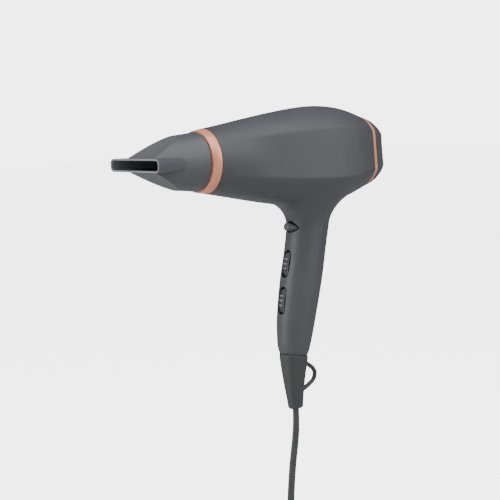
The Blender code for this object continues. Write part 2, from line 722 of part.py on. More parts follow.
def screw(name, place, length, look):
    """Pan-head screw. Its head's under face is at the local origin and its shank runs down -X."""
    profile = [(0.0021, 0), (0.0021, 0.0012), (0.0016, 0.0022), (0.0006, 0.0028), (0, 0.0028),
               (0, 0.0013), (-length + 0.001, 0.0013), (-length, 0.0006), (-length, 0)]
    turned(name, profile, look, place, 10)


def housing_screws(look):
    for name, (x, z) in SCREW_SPOTS.items():
        place = Matrix.Translation((x, SCREW_HEAD_Y, z)) @ Matrix.Rotation(math.pi / 2, 4, "Z")
        screw(name, place, 0.0135, look)


def cord_clamp(plastic, steel):
    """Bar that grips the lead inside the handle's foot, with a screw at each end."""
    centre = Vector((-0.0095, 0.0045, CLAMP_Z))
    bar = box("cord_clamp", centre, (0.0200, 0.0040, 0.0080), plastic, bevel=0.0006)
    holes = bmesh.new()
    for k, dx in enumerate((-0.0068, 0.0068)):
        rod(holes, centre + Vector((dx, -0.01, 0)), centre + Vector((dx, 0.01, 0)), 0.0016)
        place = (Matrix.Translation(centre + Vector((dx, 0.0020 + GAP, 0)))
                 @ Matrix.Rotation(math.pi / 2, 4, "Z"))
        screw("clamp_screw_" + "ab"[k], place, 0.0085, steel)
    boolean(bar, from_bmesh("clamp_holes", holes))


# ---- strain relief, lead and plug --------------------------------------------------------

def relief_ring(z, x, half_x, half_y, tilt=0.0):
    points = []
    for k in range(20):
        a = 2 * math.pi * k / 20
        c, s = math.cos(a), math.sin(a)
        dx = half_x * math.copysign(abs(c) ** 0.8, c)
        points.append(Vector((x + dx, half_y * math.copysign(abs(s) ** 0.8, s), z - dx * tilt)))
    return points


def strain_relief(look):
    """Tapered rubber boot under the handle, with its neck in the handle's foot and a hanging loop."""
    tilt = math.tan(HANDLE_FOOT_TILT)
    neck = [(-0.0600, -0.0112, 0.0086, 0.0062, tilt), (RELIEF_TOP_Z, -0.0118, 0.0086, 0.0062, tilt)]
    taper = [(RELIEF_TOP_Z, -0.0118, 0.0138, 0.0112, tilt), (-0.0760, -0.0120, 0.0133, 0.0106, tilt * 0.8),
             (-0.0900, -0.0123, 0.0112, 0.0090, tilt * 0.4), (-0.1030, -0.0121, 0.0094, 0.0074),
             (-0.1150, -0.0116, 0.0080, 0.0060), (-0.1200, -0.0114, 0.0076, 0.0056),
             (RELIEF_BOTTOM_Z, -0.0113, 0.0062, 0.0042)]
    boot = loft("strain_relief", [relief_ring(*station) for station in neck + taper], look)
    arch = [(-0.0060, 0, -0.0765), (0.0010, 0, -0.0795), (0.0070, 0, -0.0830), (0.0118, 0, -0.0873),
            (0.0135, 0, -0.0925), (0.0112, 0, -0.0973), (0.0062, 0, -0.1010), (-0.0010, 0, -0.1045),
            (-0.0070, 0, -0.1070)]
    loop = tube("hanging_loop", curve_points(arch, 0.0040), LOOP_RADIUS, look, 1)
    boolean(boot, mesh_from(loop), "UNION")


def mesh_from(curve):
    """Turn a curve object into a mesh object of the same name."""
    bpy.context.view_layer.update()
    bm = bmesh.new()
    bm.from_mesh(bpy.data.meshes.new_from_object(curve))
    bmesh.ops.remove_doubles(bm, verts=bm.verts, dist=1e-6)
    name = curve.name
    bpy.data.objects.remove(curve, do_unlink=True)
    return from_bmesh(name, bm)


def hank(look):
    """Outer shape of the folded lead: a slab with round ends."""
    half_x, half_y, half_z = HANK_HALF
    outline = stadium(2 * half_z, 2 * half_y, 12)
    rings = [[HANK_CENTRE + Vector((x, y, z)) for z, y in outline] for x in (-half_x, half_x)]
    loft("power_cord_hank", rings, look)


def hank_tie(look):
    """Soft strap round the hank, a little below its middle."""
    half_x, half_y, _ = HANK_HALF
    middle = HANK_CENTRE + Vector((0, 0, TIE_DROP))
    corners = ((1, 1), (-1, 1), (-1, -1), (1, -1))
    inner = [(sx * (half_x + 0.0004), sy * (half_y + 0.0004)) for sx, sy in corners]
    outer = [(x + math.copysign(0.0012, x), y + math.copysign(0.0012, y)) for x, y in inner]
    rings = [[middle + Vector((x, y, z)) for x, y in ring]
             for ring, z in ((inner, -0.006), (outer, -0.006), (outer, 0.006), (inner, 0.006))]
    loop_solid("hank_tie", rings, look)


def plug(shell, rubber, brass, accents):
    """Two-blade safety plug, hanging blades down, with test and reset buttons on its +X face."""
    half_x, half_y, half_z = PLUG_HALF
    body = box("plug_body", PLUG_CENTRE, (2 * half_x, 2 * half_y, 2 * half_z), shell, bevel=0.003)
    pockets = bmesh.new()
    for side in (-1, 1):
        y = side * 0.0075
        add_box(pockets, PLUG_CENTRE + Vector((half_x, y, 0.002)), (0.0090, 0.0086, 0.0066))
        name = "plug_reset_button" if side > 0 else "plug_test_button"
        box(name, PLUG_CENTRE + Vector((half_x - 0.0006, y, 0.002)), (0.0044, 0.0078, 0.0058),
            accents[side], bevel=0.0005)
        blade = PLUG_CENTRE + Vector((0, side * 0.00635, -half_z - 0.0088 - GAP))
        box("plug_blade_" + ("right" if side > 0 else "left"), blade, (0.0064, 0.0015, 0.0176), brass,
            bevel=0.0003)
    boolean(body, from_bmesh("plug_pockets", pockets))
    top = PLUG_CENTRE.z + half_z + GAP
    spans = [(0.0, 0.0072, 0.0050), (0.004, 0.0068, 0.0046), (0.012, 0.0054, 0.0038),
             (0.0190, 0.0044, 0.0030)]
    rings = [relief_ring(top + up, PLUG_CENTRE.x, hx, hy) for up, hx, hy in spans]
    loft("plug_sleeve", rings, rubber)


def build():
    clear_scene()
    shell = material("soft_touch_grey", (0.098, 0.105, 0.115), 0.55)
    trim = material("rose_gold", (0.72, 0.33, 0.24), 0.28, 1.0)
    rubber = material("dark_rubber", (0.055, 0.057, 0.060), 0.65)
    dark = material("black_plastic", (0.02, 0.02, 0.022), 0.5)
    heat = material("heat_proof_plastic", (0.045, 0.045, 0.048), 0.6)
    mica = material("mica", (0.62, 0.52, 0.36), 0.55)
    wire = material("resistance_wire", (0.45, 0.42, 0.40), 0.4, 1.0)
    steel = material("steel", (0.55, 0.55, 0.57), 0.32, 1.0)
    zinc = material("zinc_can", (0.48, 0.48, 0.50), 0.42, 1.0)
    brass = material("blade_metal", (0.62, 0.58, 0.50), 0.3, 1.0)
    board = material("board_green", (0.02, 0.14, 0.06), 0.5)
    white = material("white_plastic", (0.75, 0.75, 0.72), 0.5)
    red = material("red_plastic", (0.50, 0.03, 0.03), 0.45)
    mesh = material("lint_mesh", (0.12, 0.12, 0.12), 0.5, 0.6)

    hollow, openings, holes = cavity(), control_openings(), screw_holes()
    housing_shell("housing_left", -1, hollow, openings, holes, shell)
    housing_shell("housing_right", 1, hollow, openings, holes, shell)
    front_ring(trim)
    rear_ring(trim)
    rear_cover(shell)
    filter_screen(mesh)
    concentrator_nozzle(shell)

    outlet_grille(heat)
    mica_sleeve(mica)
    heater_frame(mica)
    heater_coil(wire)
    thermostat(dark)
    thermal_fuse(white)
    fan_duct(heat)
    motor_can(zinc)
    motor_shaft(steel)
    fan_impeller(dark)
    ion_module(dark)
    ion_emitter(steel)

    for name, spot in ROCKERS.items():
        rocker(name + "_rocker", spot, dark)
        rocker_pin(name + "_rocker_pin", spot, steel)
        switch_body(name + "_switch_body", spot, heat)
    cool_shot_button(shell)
    cool_shot_spring(steel)
    cool_shot_switch(dark)
    wiring_board(board)
    housing_screws(steel)
    cord_clamp(heat, steel)

    strain_relief(rubber)
    tube("power_cord", curve_points(CORD_ROUTE, 0.011), CORD_RADIUS, rubber)
    hank(rubber)
    hank_tie(dark)
    tube("plug_lead", curve_points(PLUG_ROUTE, 0.010), CORD_RADIUS, rubber)
    plug(dark, rubber, brass, {-1: white, 1: red})


build()
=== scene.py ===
from math import asin, atan2, copysign, cos, exp, hypot, pi, radians, sin, sqrt, tan

import bmesh
import bpy
import numpy as np
from mathutils import Matrix, Vector


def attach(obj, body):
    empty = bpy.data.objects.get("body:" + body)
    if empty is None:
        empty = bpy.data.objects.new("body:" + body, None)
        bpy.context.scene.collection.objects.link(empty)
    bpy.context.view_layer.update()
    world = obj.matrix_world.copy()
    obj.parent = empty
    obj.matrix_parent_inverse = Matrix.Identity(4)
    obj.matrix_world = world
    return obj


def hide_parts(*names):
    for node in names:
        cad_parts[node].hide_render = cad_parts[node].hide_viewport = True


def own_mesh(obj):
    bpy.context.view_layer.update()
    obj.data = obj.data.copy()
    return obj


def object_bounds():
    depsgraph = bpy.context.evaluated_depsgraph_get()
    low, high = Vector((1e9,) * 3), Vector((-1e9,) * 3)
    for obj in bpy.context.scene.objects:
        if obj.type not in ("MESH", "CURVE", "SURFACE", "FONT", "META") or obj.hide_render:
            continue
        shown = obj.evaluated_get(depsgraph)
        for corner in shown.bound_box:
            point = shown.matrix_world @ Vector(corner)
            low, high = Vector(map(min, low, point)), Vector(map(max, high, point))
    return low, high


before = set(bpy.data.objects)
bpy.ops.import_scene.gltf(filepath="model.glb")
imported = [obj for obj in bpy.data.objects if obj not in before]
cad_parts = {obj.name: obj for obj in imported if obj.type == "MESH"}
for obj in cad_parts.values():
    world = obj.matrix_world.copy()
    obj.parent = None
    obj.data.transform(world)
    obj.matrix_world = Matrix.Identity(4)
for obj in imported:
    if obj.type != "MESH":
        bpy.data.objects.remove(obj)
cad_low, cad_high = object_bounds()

# Sizes in metres. Distances called s run along the barrel, back from the shells' front edge.
AXIS_Z = 0.118  # height of the barrel's axis
FRONT_X = -0.106  # front edge of the shells
BARREL = [(-0.012, 0.0274), (0.0, 0.0291), (0.020, 0.0322), (0.048, 0.0369), (0.076, 0.0412),
          (0.104, 0.0447), (0.126, 0.0459), (0.142, 0.0449), (0.155, 0.0427), (0.167, 0.0392),
          (0.1755, 0.0362), (0.184, 0.0336), (0.190, 0.0318)]
BARREL_END = 0.1755
BELLY = [(-0.030, 0.0), (0.0, 0.0), (0.015, 0.0006), (0.040, 0.0015), (0.070, 0.0024),
         (0.100, 0.0026), (0.130, 0.0012), (0.150, 0.0), (0.220, 0.0)]
FLAT_ANGLE = radians(86)  # direction of a flat's middle, from straight up
FLAT_HALF = radians(31)  # half of the angle that a flat takes
FLAT_FADE = 0.060  # the flats reach full depth this far behind the front edge
CREASE = 0.0006  # how softly the flats meet the round
WALL = 0.0022
HANDLE = [(-0.069, -0.0121, 0.0134), (-0.067, -0.0119, 0.0148), (-0.059, -0.0110, 0.0166),
          (-0.034, -0.0070, 0.0195), (0.001, 0.0001, 0.0211), (0.031, 0.0064, 0.0208),
          (0.060, 0.0117, 0.0214), (0.090, 0.0160, 0.0218)]
HANDLE_WIDTH = 0.81
HANDLE_POWER = 2.2  # superellipse power of the handle's section
HANDLE_FOOT_TILT = radians(9)
FOOT_Z = -0.069
HANDLE_TOP = 0.098  # the handle ends inside the barrel
FILLETS = (0.022, 0.0185, 0.021)  # front, rear and side, where the handle meets the barrel
SEAM = 0.000002  # half of the gap between the two shells
GAP = 0.0003  # between other pieces that touch on the real object

RING_LENGTH = 0.009
RING_BORE = 0.0252
RING_SEAT = 0.0265  # radius of the shells' outlet that the ring's neck goes into
REAR_RING_END = BARREL_END + 0.0043
COVER_START = BARREL_END + 0.0046
NOZZLE_LENGTH = 0.0725  # mouth to the shells' front edge
NOZZLE_WALL = 0.0016
NOZZLE_NECK = 0.0249  # radius of the neck that turns in the outlet ring
NOZZLE_ROUND = [(-0.0093, 0.0265), (-0.016, 0.0256), (-0.023, 0.0249), (-0.031, 0.0242),
                (-0.061, 0.0225), (-0.070, 0.0220)]
WEDGE_START = (-0.0187, 0.0306)  # the wedge faces fall from here to the bill
WEDGE_END = (-0.066, 0.0054)
BILL_HALF_WIDTH = 0.0393
BILL_HALF_HEIGHT = 0.0058
BILL_FLARE = 0.40  # half width gained for each unit of length towards the mouth
BILL_CORNER = 0.0046
BILL_STATIONS = (-0.028, -0.043, -0.058)

# Controls. A spot on the handle is x, z and the tilt of the handle's front there.
ROCKERS = {"speed": (-0.0174, 0.0175, radians(11.5)),
           "heat": (-0.0238, -0.0166, radians(9))}
ROCKER_FACE = (0.0238, 0.0076)  # length along the handle, width
ROCKER_PIVOT_DEPTH = 0.0064
ROCKER_BORE = 0.0013  # hole for a pin of 1 mm radius
ROCKER_FOOT = [(0.0, 0.0030), (0.0030, 0.0030), (0.0042, -0.0010), (0.0124, -0.0014)]
RIBS = (-0.0045, 0.0, 0.0045)
RIB_HALF = (0.0030, 0.00095)  # half width across the rocker, half length along it
SLOT_SIZE = (0.0266, 0.0100)
COOL_SHOT = (-0.0107, 0.0516, radians(12))
BUTTON_PROUD = 0.0053
ALMOND = (0.0103, 0.0053)  # half length and half height of the cool-shot opening
SCREW_SPOTS = ((0.046, 0.156), (0.0225, 0.047), (0.0045, -0.040))

# Strain relief: height, middle, half depth, half width and share of the foot's tilt.
RELIEF_TOP_Z = -0.0695
RELIEF = [(RELIEF_TOP_Z, -0.0118, 0.0138, 0.0112, 1.0), (-0.0760, -0.0120, 0.0133, 0.0106, 0.8),
          (-0.0900, -0.0123, 0.0112, 0.0090, 0.4), (-0.1030, -0.0121, 0.0094, 0.0074, 0.0),
          (-0.1150, -0.0116, 0.0080, 0.0060, 0.0), (-0.1200, -0.0114, 0.0076, 0.0056, 0.0)]
RELIEF_TIP_Z = -0.1200  # the end rounds off below this
FOLD_AT, FOLD_HALF, FOLD_DEPTH = radians(48), radians(6.5), 0.00085
LOOP_RADIUS = 0.0021
LOOP_ARCH = [(-0.0060, 0, -0.0765), (0.0010, 0, -0.0795), (0.0070, 0, -0.0830),
             (0.0118, 0, -0.0873), (0.0135, 0, -0.0925), (0.0112, 0, -0.0973),
             (0.0062, 0, -0.1010), (-0.0010, 0, -0.1045), (-0.0070, 0, -0.1070)]

# Lead: its real length, its flat section, its free stretch and the hank below it.
LEAD_LENGTH = 1.80
LEAD_WIDTH = 0.0068
LEAD_THICK = 0.0038
LEAD_STEP = 0.0026  # between the sections along it
LEAD_TWIST = radians(36)
TWISTED_LENGTH = 0.11  # the twist is all in this first stretch
CORD_ROUTE = [(-0.0113, 0, -0.1219), (-0.0114, 0, -0.1315), (-0.0119, 0, -0.1419),
              (-0.0133, 0, -0.1534), (-0.0153, 0, -0.1647), (-0.0172, 0, -0.1761),
              (-0.0187, 0, -0.1877), (-0.0200, 0, -0.1990), (-0.0207, 0, -0.2054)]
HANK_LAYERS = (-0.0207, -0.0137, -0.0067)
HANK_RADII = (0.0285, 0.0245, 0.0205)
HANK_TOP = -0.25476
TIE_Z = -0.2935
PLUG_CENTRE = Vector((0.0105, 0, -0.3560))
PLUG_HALF = (0.0128, 0.0190, 0.0225)
SLEEVE_TOP = -0.3142

CAMERA_AT = Vector((-0.7003, -0.8618, 0.1550))
CAMERA_LOOKS_AT = Vector((-0.0589, 0, 0.0346))
CAMERA_ROLL = radians(-2.1)
LENS = 85
SENSOR_WIDTH = 36

WORLD_LIGHT = 0.05  # what the world gives the pieces
WORLD_SEEN = 4.6  # how bright the camera sees it, as the floor does with FLOOR_GLOW
FLOOR_GLOW = 4.2
LIGHTS_AIM = (0, 0, 0.05)
LIGHTS = [("overhead", (0.1, -0.6, 1.6), (1.5, 1.2), 21),
          ("front", (-0.7, -1.2, 1.2), (1.0, 1.0), 5.5),
          ("left", (-1.8, 0.2, 0.35), (1.3, 1.5), 27),
          ("right", (0.9, -1.3, 0.9), (1.0, 1.0), 14),
          ("reflected_card", (0.95, -1.45, 0.0), (1.0, 1.4), 5.5),
          ("back", (-0.6, 1.3, 1.3), (1.2, 1.2), 8)]

CROSSWISE = Matrix.Rotation(pi / 2, 4, "Z")  # turns local X to Y


# ---- shared helpers ----

def add_object(name, data):
    obj = bpy.data.objects.new(name, data)
    bpy.context.scene.collection.objects.link(obj)
    return obj


def from_bmesh(name, bm, smooth=32):
    """New object from a bmesh, shaded smooth up to an angle in degrees, or flat for 0."""
    bmesh.ops.recalc_face_normals(bm, faces=bm.faces)
    mesh = bpy.data.meshes.new(name)
    bm.to_mesh(mesh)
    bm.free()
    obj = add_object(name, mesh)
    return shade(obj, smooth) if smooth else obj


def turns(count):
    """Angles of evenly spaced points round a full circle."""
    return [2 * pi * k / count for k in range(count)]


def circle(radius, count):
    """Points round a circle, as pairs."""
    return [(radius * cos(a), radius * sin(a)) for a in turns(count)]


def bulged(value, power):
    """A sine or cosine as it is on a superellipse."""
    return copysign(abs(value) ** power, value)


def corner_points(half_a, half_b, corner, grow, steps):
    """Rectangle with rounded corners, as (a, b) pairs, grown outwards."""
    points = []
    reach = corner + grow
    for side_a, side_b, start in ((1, 1, 0), (-1, 1, 90), (-1, -1, 180), (1, -1, 270)):
        for k in range(steps + 1):
            a = radians(start + 90 * k / steps)
            points.append((side_a * (half_a - corner) + reach * cos(a),
                           side_b * (half_b - corner) + reach * sin(a)))
    return points


def smooth(table, position):
    """Value on the smooth curve through a table of (position, value) pairs."""
    last = len(table) - 2
    i = next((k for k in range(last) if position <= table[k + 1][0]), last)
    (x0, y0), (x1, y1) = table[i], table[i + 1]
    before = table[max(i - 1, 0)]
    after = table[min(i + 2, len(table) - 1)]
    slope0 = (y1 - before[1]) / (x1 - before[0])
    slope1 = (after[1] - y0) / (after[0] - x0)
    h = x1 - x0
    t = (position - x0) / h
    rise = (2 * t - 3) * t * t
    return (y0 * (1 + rise) - y1 * rise + h * slope0 * t * (1 - t) ** 2
            - h * slope1 * t * t * (1 - t))


def fine_table(table, low, high, count=600):
    """Even positions and the smooth curve's values there, for np.interp."""
    at = np.linspace(low, high, count)
    return at, np.array([smooth(table, p) for p in at])


def ease(t):
    """Smooth step from 0 at t = 0 to 1 at t = 1."""
    t = np.clip(t, 0.0, 1.0)
    return t * t * (3 - 2 * t)


def add_rings(bm, rings, closed=False):
    """Faces between rings of equal point counts. A closed set joins its last ring to its first."""
    made = [[bm.verts.new(p) for p in ring] for ring in rings]
    count = len(made[0])
    pairs = list(zip(made, made[1:]))
    if closed:
        pairs.append((made[-1], made[0]))
    for low, high in pairs:
        for k in range(count):
            n = (k + 1) % count
            bm.faces.new((low[k], low[n], high[n], high[k]))
    if not closed:
        bm.faces.new(made[0])
        bm.faces.new(made[-1])


def loft(name, rings, closed=False, smooth=32):
    bm = bmesh.new()
    add_rings(bm, rings, closed)
    return from_bmesh(name, bm, smooth)


def add_turned(bm, profile, place, segments=96):
    """Turn (along, radius) points about local X. A profile off the axis closes into a ring."""
    rings = [[place @ Vector((along, y, z)) for y, z in circle(radius, segments)]
             for along, radius in profile]
    closed = profile[0][1] > 0
    before = set(bm.verts)
    add_rings(bm, rings, closed)
    bmesh.ops.remove_doubles(bm, verts=[v for v in bm.verts if v not in before], dist=1e-7)


def turned(name, profile, place=None, segments=96, smooth=32):
    """Turned piece. Without a place, it turns about the barrel's axis with s as its along."""
    bm = bmesh.new()
    add_turned(bm, profile, place or Matrix.Translation((FRONT_X, 0, AXIS_Z)), segments)
    bmesh.ops.delete(bm, geom=[f for f in bm.faces if f.calc_area() < 1e-14], context="FACES")
    return from_bmesh(name, bm, smooth)


def boolean(obj, other, operation="DIFFERENCE"):
    """Cut, join or keep the common part, then drop the other object."""
    step = obj.modifiers.new("step", "BOOLEAN")
    step.operation = operation
    step.object = other
    step.solver = "EXACT"
    bake(obj)
    bpy.data.objects.remove(other, do_unlink=True)
    return obj


def bake(obj):
    """Replace the mesh by what its modifiers make of it."""
    bpy.context.view_layer.update()
    graph = bpy.context.evaluated_depsgraph_get()
    made = bpy.data.meshes.new_from_object(obj.evaluated_get(graph))
    old = obj.data
    obj.modifiers.clear()
    obj.data = made
    bpy.data.meshes.remove(old)


def shade(obj, angle=32):
    """Shade smooth, with an edge sharp where its faces turn by more than the angle."""
    obj.data.shade_smooth()
    obj.data.set_sharp_from_angle(angle=radians(angle))
    return obj


def read(items, name, kind, width=1):
    """One property of every item, as an array."""
    values = np.empty(len(items) * width, kind)
    items.foreach_get(name, values)
    return values.reshape(-1, width) if width > 1 else values


def bisect(low, high, rounds, short):
    """Halve a range until its low end is just below where short() ends."""
    for _ in range(rounds):
        middle = (low + high) / 2
        if short(middle):
            low = middle
        else:
            high = middle
    return low


def with_direction(points):
    """Each point of a line, and the line's direction there."""
    before, after = points[:1] + points[:-1], points[1:] + points[-1:]
    return [(p, (b - a).normalized()) for a, p, b in zip(before, points, after)]


def spot_on_handle(spot, depth=0.0):
    """Frame at a control on the handle's front: local +X points straight into the handle."""
    x, z, tilt = spot
    place = Matrix.Translation((x, 0, z)) @ Matrix.Rotation(tilt, 4, "Y")
    return place @ Matrix.Translation((depth, 0, 0))


def curve_points(route, spacing):
    """Evenly spread points on a smooth curve through the route's points."""
    points = [Vector(p) for p in route]
    ends = [points[0] * 2 - points[1]] + points + [points[-1] * 2 - points[-2]]
    fine = []
    steps = 24
    for a, b, c, d in zip(ends, ends[1:], ends[2:], ends[3:]):
        for k in range(steps):
            t = k / steps
            fine.append(0.5 * (2 * b + (c - a) * t + (2 * a - 5 * b + 4 * c - d) * t * t
                               + (3 * b - a - 3 * c + d) * t ** 3))
    fine.append(points[-1])
    return respaced(fine, spacing)


def respaced(fine, spacing):
    """The same line as points at an even spacing."""
    co = np.array([tuple(p) for p in fine])
    steps = np.linalg.norm(np.diff(co, axis=0), axis=1)
    along = np.concatenate([[0], np.cumsum(steps)])
    count = max(round(along[-1] / spacing), 2)
    at = np.linspace(0, along[-1], count + 1)
    return [Vector([float(np.interp(a, along, co[:, i])) for i in range(3)]) for a in at]


def done(obj, body, slot, look, *replaced):
    """Give a piece its material and body, and hide the CAD nodes it stands for. The slot is not
    used.
    """
    if look:
        obj.data.materials.clear()
        obj.data.materials.append(look)
    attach(obj, body)
    if replaced:
        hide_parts(*replaced)
    return obj


# ---- materials ----

def feed(tree, node, inputs):
    """Set each input to a value, or link it to another node's output."""
    for key, value in inputs.items():
        if isinstance(value, bpy.types.NodeSocket):
            tree.links.new(value, node.inputs[key])
        else:
            node.inputs[key].default_value = value


def add_node(tree, kind, inputs, **settings):
    node = tree.nodes.new("ShaderNode" + kind)
    for key, value in settings.items():
        setattr(node, key, value)
    feed(tree, node, inputs)
    return node


def finish(name, colour, roughness, metallic=0.0, mottle=(40.0, 0.06),
           grain=(2400.0, 0.25, 0.00004), stretch=(1, 1, 1), rough_swing=0.06, specular=0.5,
           sheen=0.0):
    """A procedural finish: cloudy colour, uneven gloss and a fine relief.

    Mottle is scale and strength. Grain is scale, share of the colour and depth in metres.
    """
    made = bpy.data.materials.new(name)
    made.use_nodes = True
    tree = made.node_tree
    place = add_node(tree, "TexCoord", {}).outputs["Object"]
    at = add_node(tree, "Mapping", {"Scale": stretch, "Vector": place}).outputs["Vector"]
    cloud, fine = [
        add_node(tree, "TexNoise", {"Scale": scale, "Detail": detail, "Vector": at}).outputs["Fac"]
        for scale, detail in ((mottle[0], 4), (grain[0], 3))]
    blend = add_node(tree, "Math", {0: fine, 1: grain[1], 2: cloud}, operation="MULTIPLY_ADD")
    shift = add_node(tree, "MapRange", {"Value": blend.outputs[0],
                                        "From Min": 0.30 + grain[1] * 0.5,
                                        "From Max": 0.70 + grain[1] * 0.5})
    dark = (*[c * (1 - mottle[1]) for c in colour], 1)
    pale = (*[min(c * (1 + mottle[1]), 1) for c in colour], 1)
    mix = add_node(tree, "Mix", {0: shift.outputs[0], 6: dark, 7: pale}, data_type="RGBA")
    gloss = add_node(tree, "MapRange", {"Value": cloud, "From Min": 0.3, "From Max": 0.7,
                                        "To Min": roughness - rough_swing,
                                        "To Max": roughness + rough_swing})
    bump = add_node(tree, "Bump", {"Strength": 1.0, "Distance": grain[2], "Height": fine})
    feed(tree, tree.nodes["Principled BSDF"], {
        "Base Color": mix.outputs[2], "Metallic": metallic, "Roughness": gloss.outputs[0],
        "Specular IOR Level": specular, "Sheen Weight": sheen, "Sheen Roughness": 0.5,
        "Normal": bump.outputs["Normal"]})
    return made


def make_looks():
    satin = (3600.0, 0.30, 0.000016)
    brushed = (60.0, 1.0, 1.0)
    return {
        "shell": finish("soft_touch_coat", (0.079, 0.082, 0.092), 0.47, 0.0, (22.0, 0.035),
                        satin, sheen=0.02, specular=0.40),
        "nozzle": finish("heat_proof_coat", (0.098, 0.102, 0.114), 0.45, 0.0, (24.0, 0.035),
                         (3400.0, 0.30, 0.000016)),
        # lighter grey on the nozzle's mouth rim: a painted highlight
        "rim": finish("nozzle_rim_painted_highlight", (0.27, 0.27, 0.275), 0.50, grain=(3000.0, 0.3, 0.00002)),
        "key": finish("soft_touch_key", (0.104, 0.102, 0.111), 0.46, grain=satin),
        # lighter grey on the rockers' rib tops: a painted highlight
        "rib_highlight": finish("rib_painted_highlight", (0.24, 0.24, 0.25), 0.50, grain=(3600.0, 0.3, 0.00001)),
        "button": finish("soft_touch_button", (0.052, 0.054, 0.060), 0.50, grain=satin),
        "rose": finish("brushed_rose_gold", (0.97, 0.37, 0.24), 0.36, 0.22, (26.0, 0.06),
                       (110.0, 0.9, 0.000012), stretch=brushed, rough_swing=0.07),
        "rubber": finish("moulded_rubber", (0.053, 0.054, 0.056), 0.58, 0.0, (60.0, 0.08),
                         (1500.0, 0.4, 0.00005), rough_swing=0.05),
        "lead": finish("lead_sheath", (0.064, 0.065, 0.067), 0.42, 0.0, (90.0, 0.08),
                       (1800.0, 0.4, 0.00003), rough_swing=0.05),
        "black": finish("black_plastic", (0.020, 0.020, 0.022), 0.48, 0.0, (80.0, 0.15),
                        (2000.0, 0.4, 0.00003)),
        # near-black with almost no shine: painted shade, used in the nozzle's hollow, on the
        # rockers' sides and on the cool-shot plate
        "inside": finish("inside_painted_shade", (0.0015, 0.0015, 0.0017), 0.85, 0.0, (80.0, 0.2),
                         (1600.0, 0.4, 0.00005), specular=0.02),
        "heat": finish("heat_proof_plastic", (0.045, 0.045, 0.048), 0.60, 0.0, (120.0, 0.12),
                       (1400.0, 0.4, 0.00005)),
        "mica": finish("mica_sheet", (0.62, 0.52, 0.36), 0.50, 0.0, (150.0, 0.22),
                       (900.0, 0.6, 0.00004)),
        "wire": finish("oxidised_wire", (0.40, 0.36, 0.33), 0.42, 1.0, (300.0, 0.25)),
        "steel": finish("plated_steel", (0.56, 0.56, 0.58), 0.30, 1.0, (200.0, 0.10)),
        "zinc": finish("zinc_plate", (0.50, 0.50, 0.52), 0.42, 1.0, (260.0, 0.16)),
        "brass": finish("nickel_blade", (0.66, 0.62, 0.54), 0.26, 1.0, (140.0, 0.08)),
        "board": finish("circuit_board", (0.02, 0.14, 0.06), 0.45, 0.0, (200.0, 0.25)),
        "white": finish("white_plastic", (0.72, 0.72, 0.69), 0.45, 0.0, (120.0, 0.05)),
        "red": finish("red_plastic", (0.50, 0.03, 0.03), 0.42, 0.0, (120.0, 0.10)),
        "mesh": lint_mesh(),
    }


def lint_mesh():
    """Fine woven steel screen: two crossed waves set its colour and relief."""
    made = finish("lint_mesh", (0.11, 0.11, 0.115), 0.45, 0.6, mottle=(200.0, 0.15))
    tree = made.node_tree
    place = add_node(tree, "TexCoord", {}).outputs["Object"]
    waves = [add_node(tree, "TexWave", {"Scale": 380.0, "Vector": place}, bands_direction=way)
             for way in ("Y", "Z")]
    height = add_node(tree, "Math", {i: wave.outputs["Fac"] for i, wave in enumerate(waves)},
                      operation="MAXIMUM").outputs[0]
    bump = add_node(tree, "Bump", {"Distance": 0.0002, "Height": height})
    # Near-black where the weave is low: painted shade in the openings between the wires.
    mix = add_node(tree, "Mix", {0: height, 6: (0.006, 0.006, 0.006, 1), 7: (0.16, 0.16, 0.165, 1)},
                   data_type="RGBA")
    feed(tree, tree.nodes["Principled BSDF"],
         {"Base Color": mix.outputs[2], "Normal": bump.outputs["Normal"]})
    return made


# ---- camera, lights and floor ----

def make_camera():
    data = bpy.data.cameras.new("camera")
    data.lens = LENS
    data.sensor_width = SENSOR_WIDTH
    obj = add_object("camera", data)
    turn = (CAMERA_LOOKS_AT - CAMERA_AT).to_track_quat("-Z", "Y").to_matrix().to_4x4()
    obj.matrix_world = Matrix.Translation(CAMERA_AT) @ turn @ Matrix.Rotation(CAMERA_ROLL, 4, "Z")
    bpy.context.scene.camera = obj


def make_lights():
    """Soft lights. The reflected card only shows as a shine."""
    for name, at, size, power in LIGHTS:
        data = bpy.data.lights.new(name, "AREA")
        data.shape = "RECTANGLE"
        data.size, data.size_y = size
        data.energy = power
        obj = add_object(name, data)
        obj.location = at
        obj.rotation_euler = (Vector(LIGHTS_AIM) - Vector(at)).to_track_quat("-Z", "Y").to_euler()
        obj.visible_diffuse = name != "reflected_card"


def make_stage():
    """White world and floor, bright to the camera and dim to the pieces."""
    world = bpy.data.worlds.new("studio")
    bpy.context.scene.world = world
    world.use_nodes = True
    tree = world.node_tree
    seen = add_node(tree, "LightPath", {}).outputs["Is Camera Ray"]
    strength = add_node(tree, "MapRange", {"Value": seen, "To Min": WORLD_LIGHT,
                                           "To Max": WORLD_SEEN})
    feed(tree, tree.nodes["Background"], {"Color": (1, 1, 1, 1), "Strength": strength.outputs[0]})

    bm = bmesh.new()
    bmesh.ops.create_grid(bm, x_segments=8, y_segments=8, size=14)
    floor = from_bmesh("studio_floor", bm, 0)
    floor.location = (0, 0, cad_low.z - 0.004)
    look = bpy.data.materials.new("pale_floor")
    look.use_nodes = True
    tree = look.node_tree
    seen = add_node(tree, "LightPath", {}).outputs["Is Camera Ray"]
    glow = add_node(tree, "Math", {0: seen, 1: FLOOR_GLOW}, operation="MULTIPLY")
    feed(tree, tree.nodes["Principled BSDF"], {
        "Base Color": (0.65, 0.65, 0.65, 1), "Roughness": 0.9,
        "Emission Color": (1, 1, 1, 1), "Emission Strength": glow.outputs[0]})
    floor.data.materials.append(look)


# ---- the lead ----

def arc(x, centre_z, radius, start, end, count=22):
    """Points of an arc in an upright plane, by angle from straight up towards +Y."""
    return [Vector((x, radius * sin(a), centre_z + radius * cos(a)))
            for a in np.linspace(radians(start), radians(end), count)]


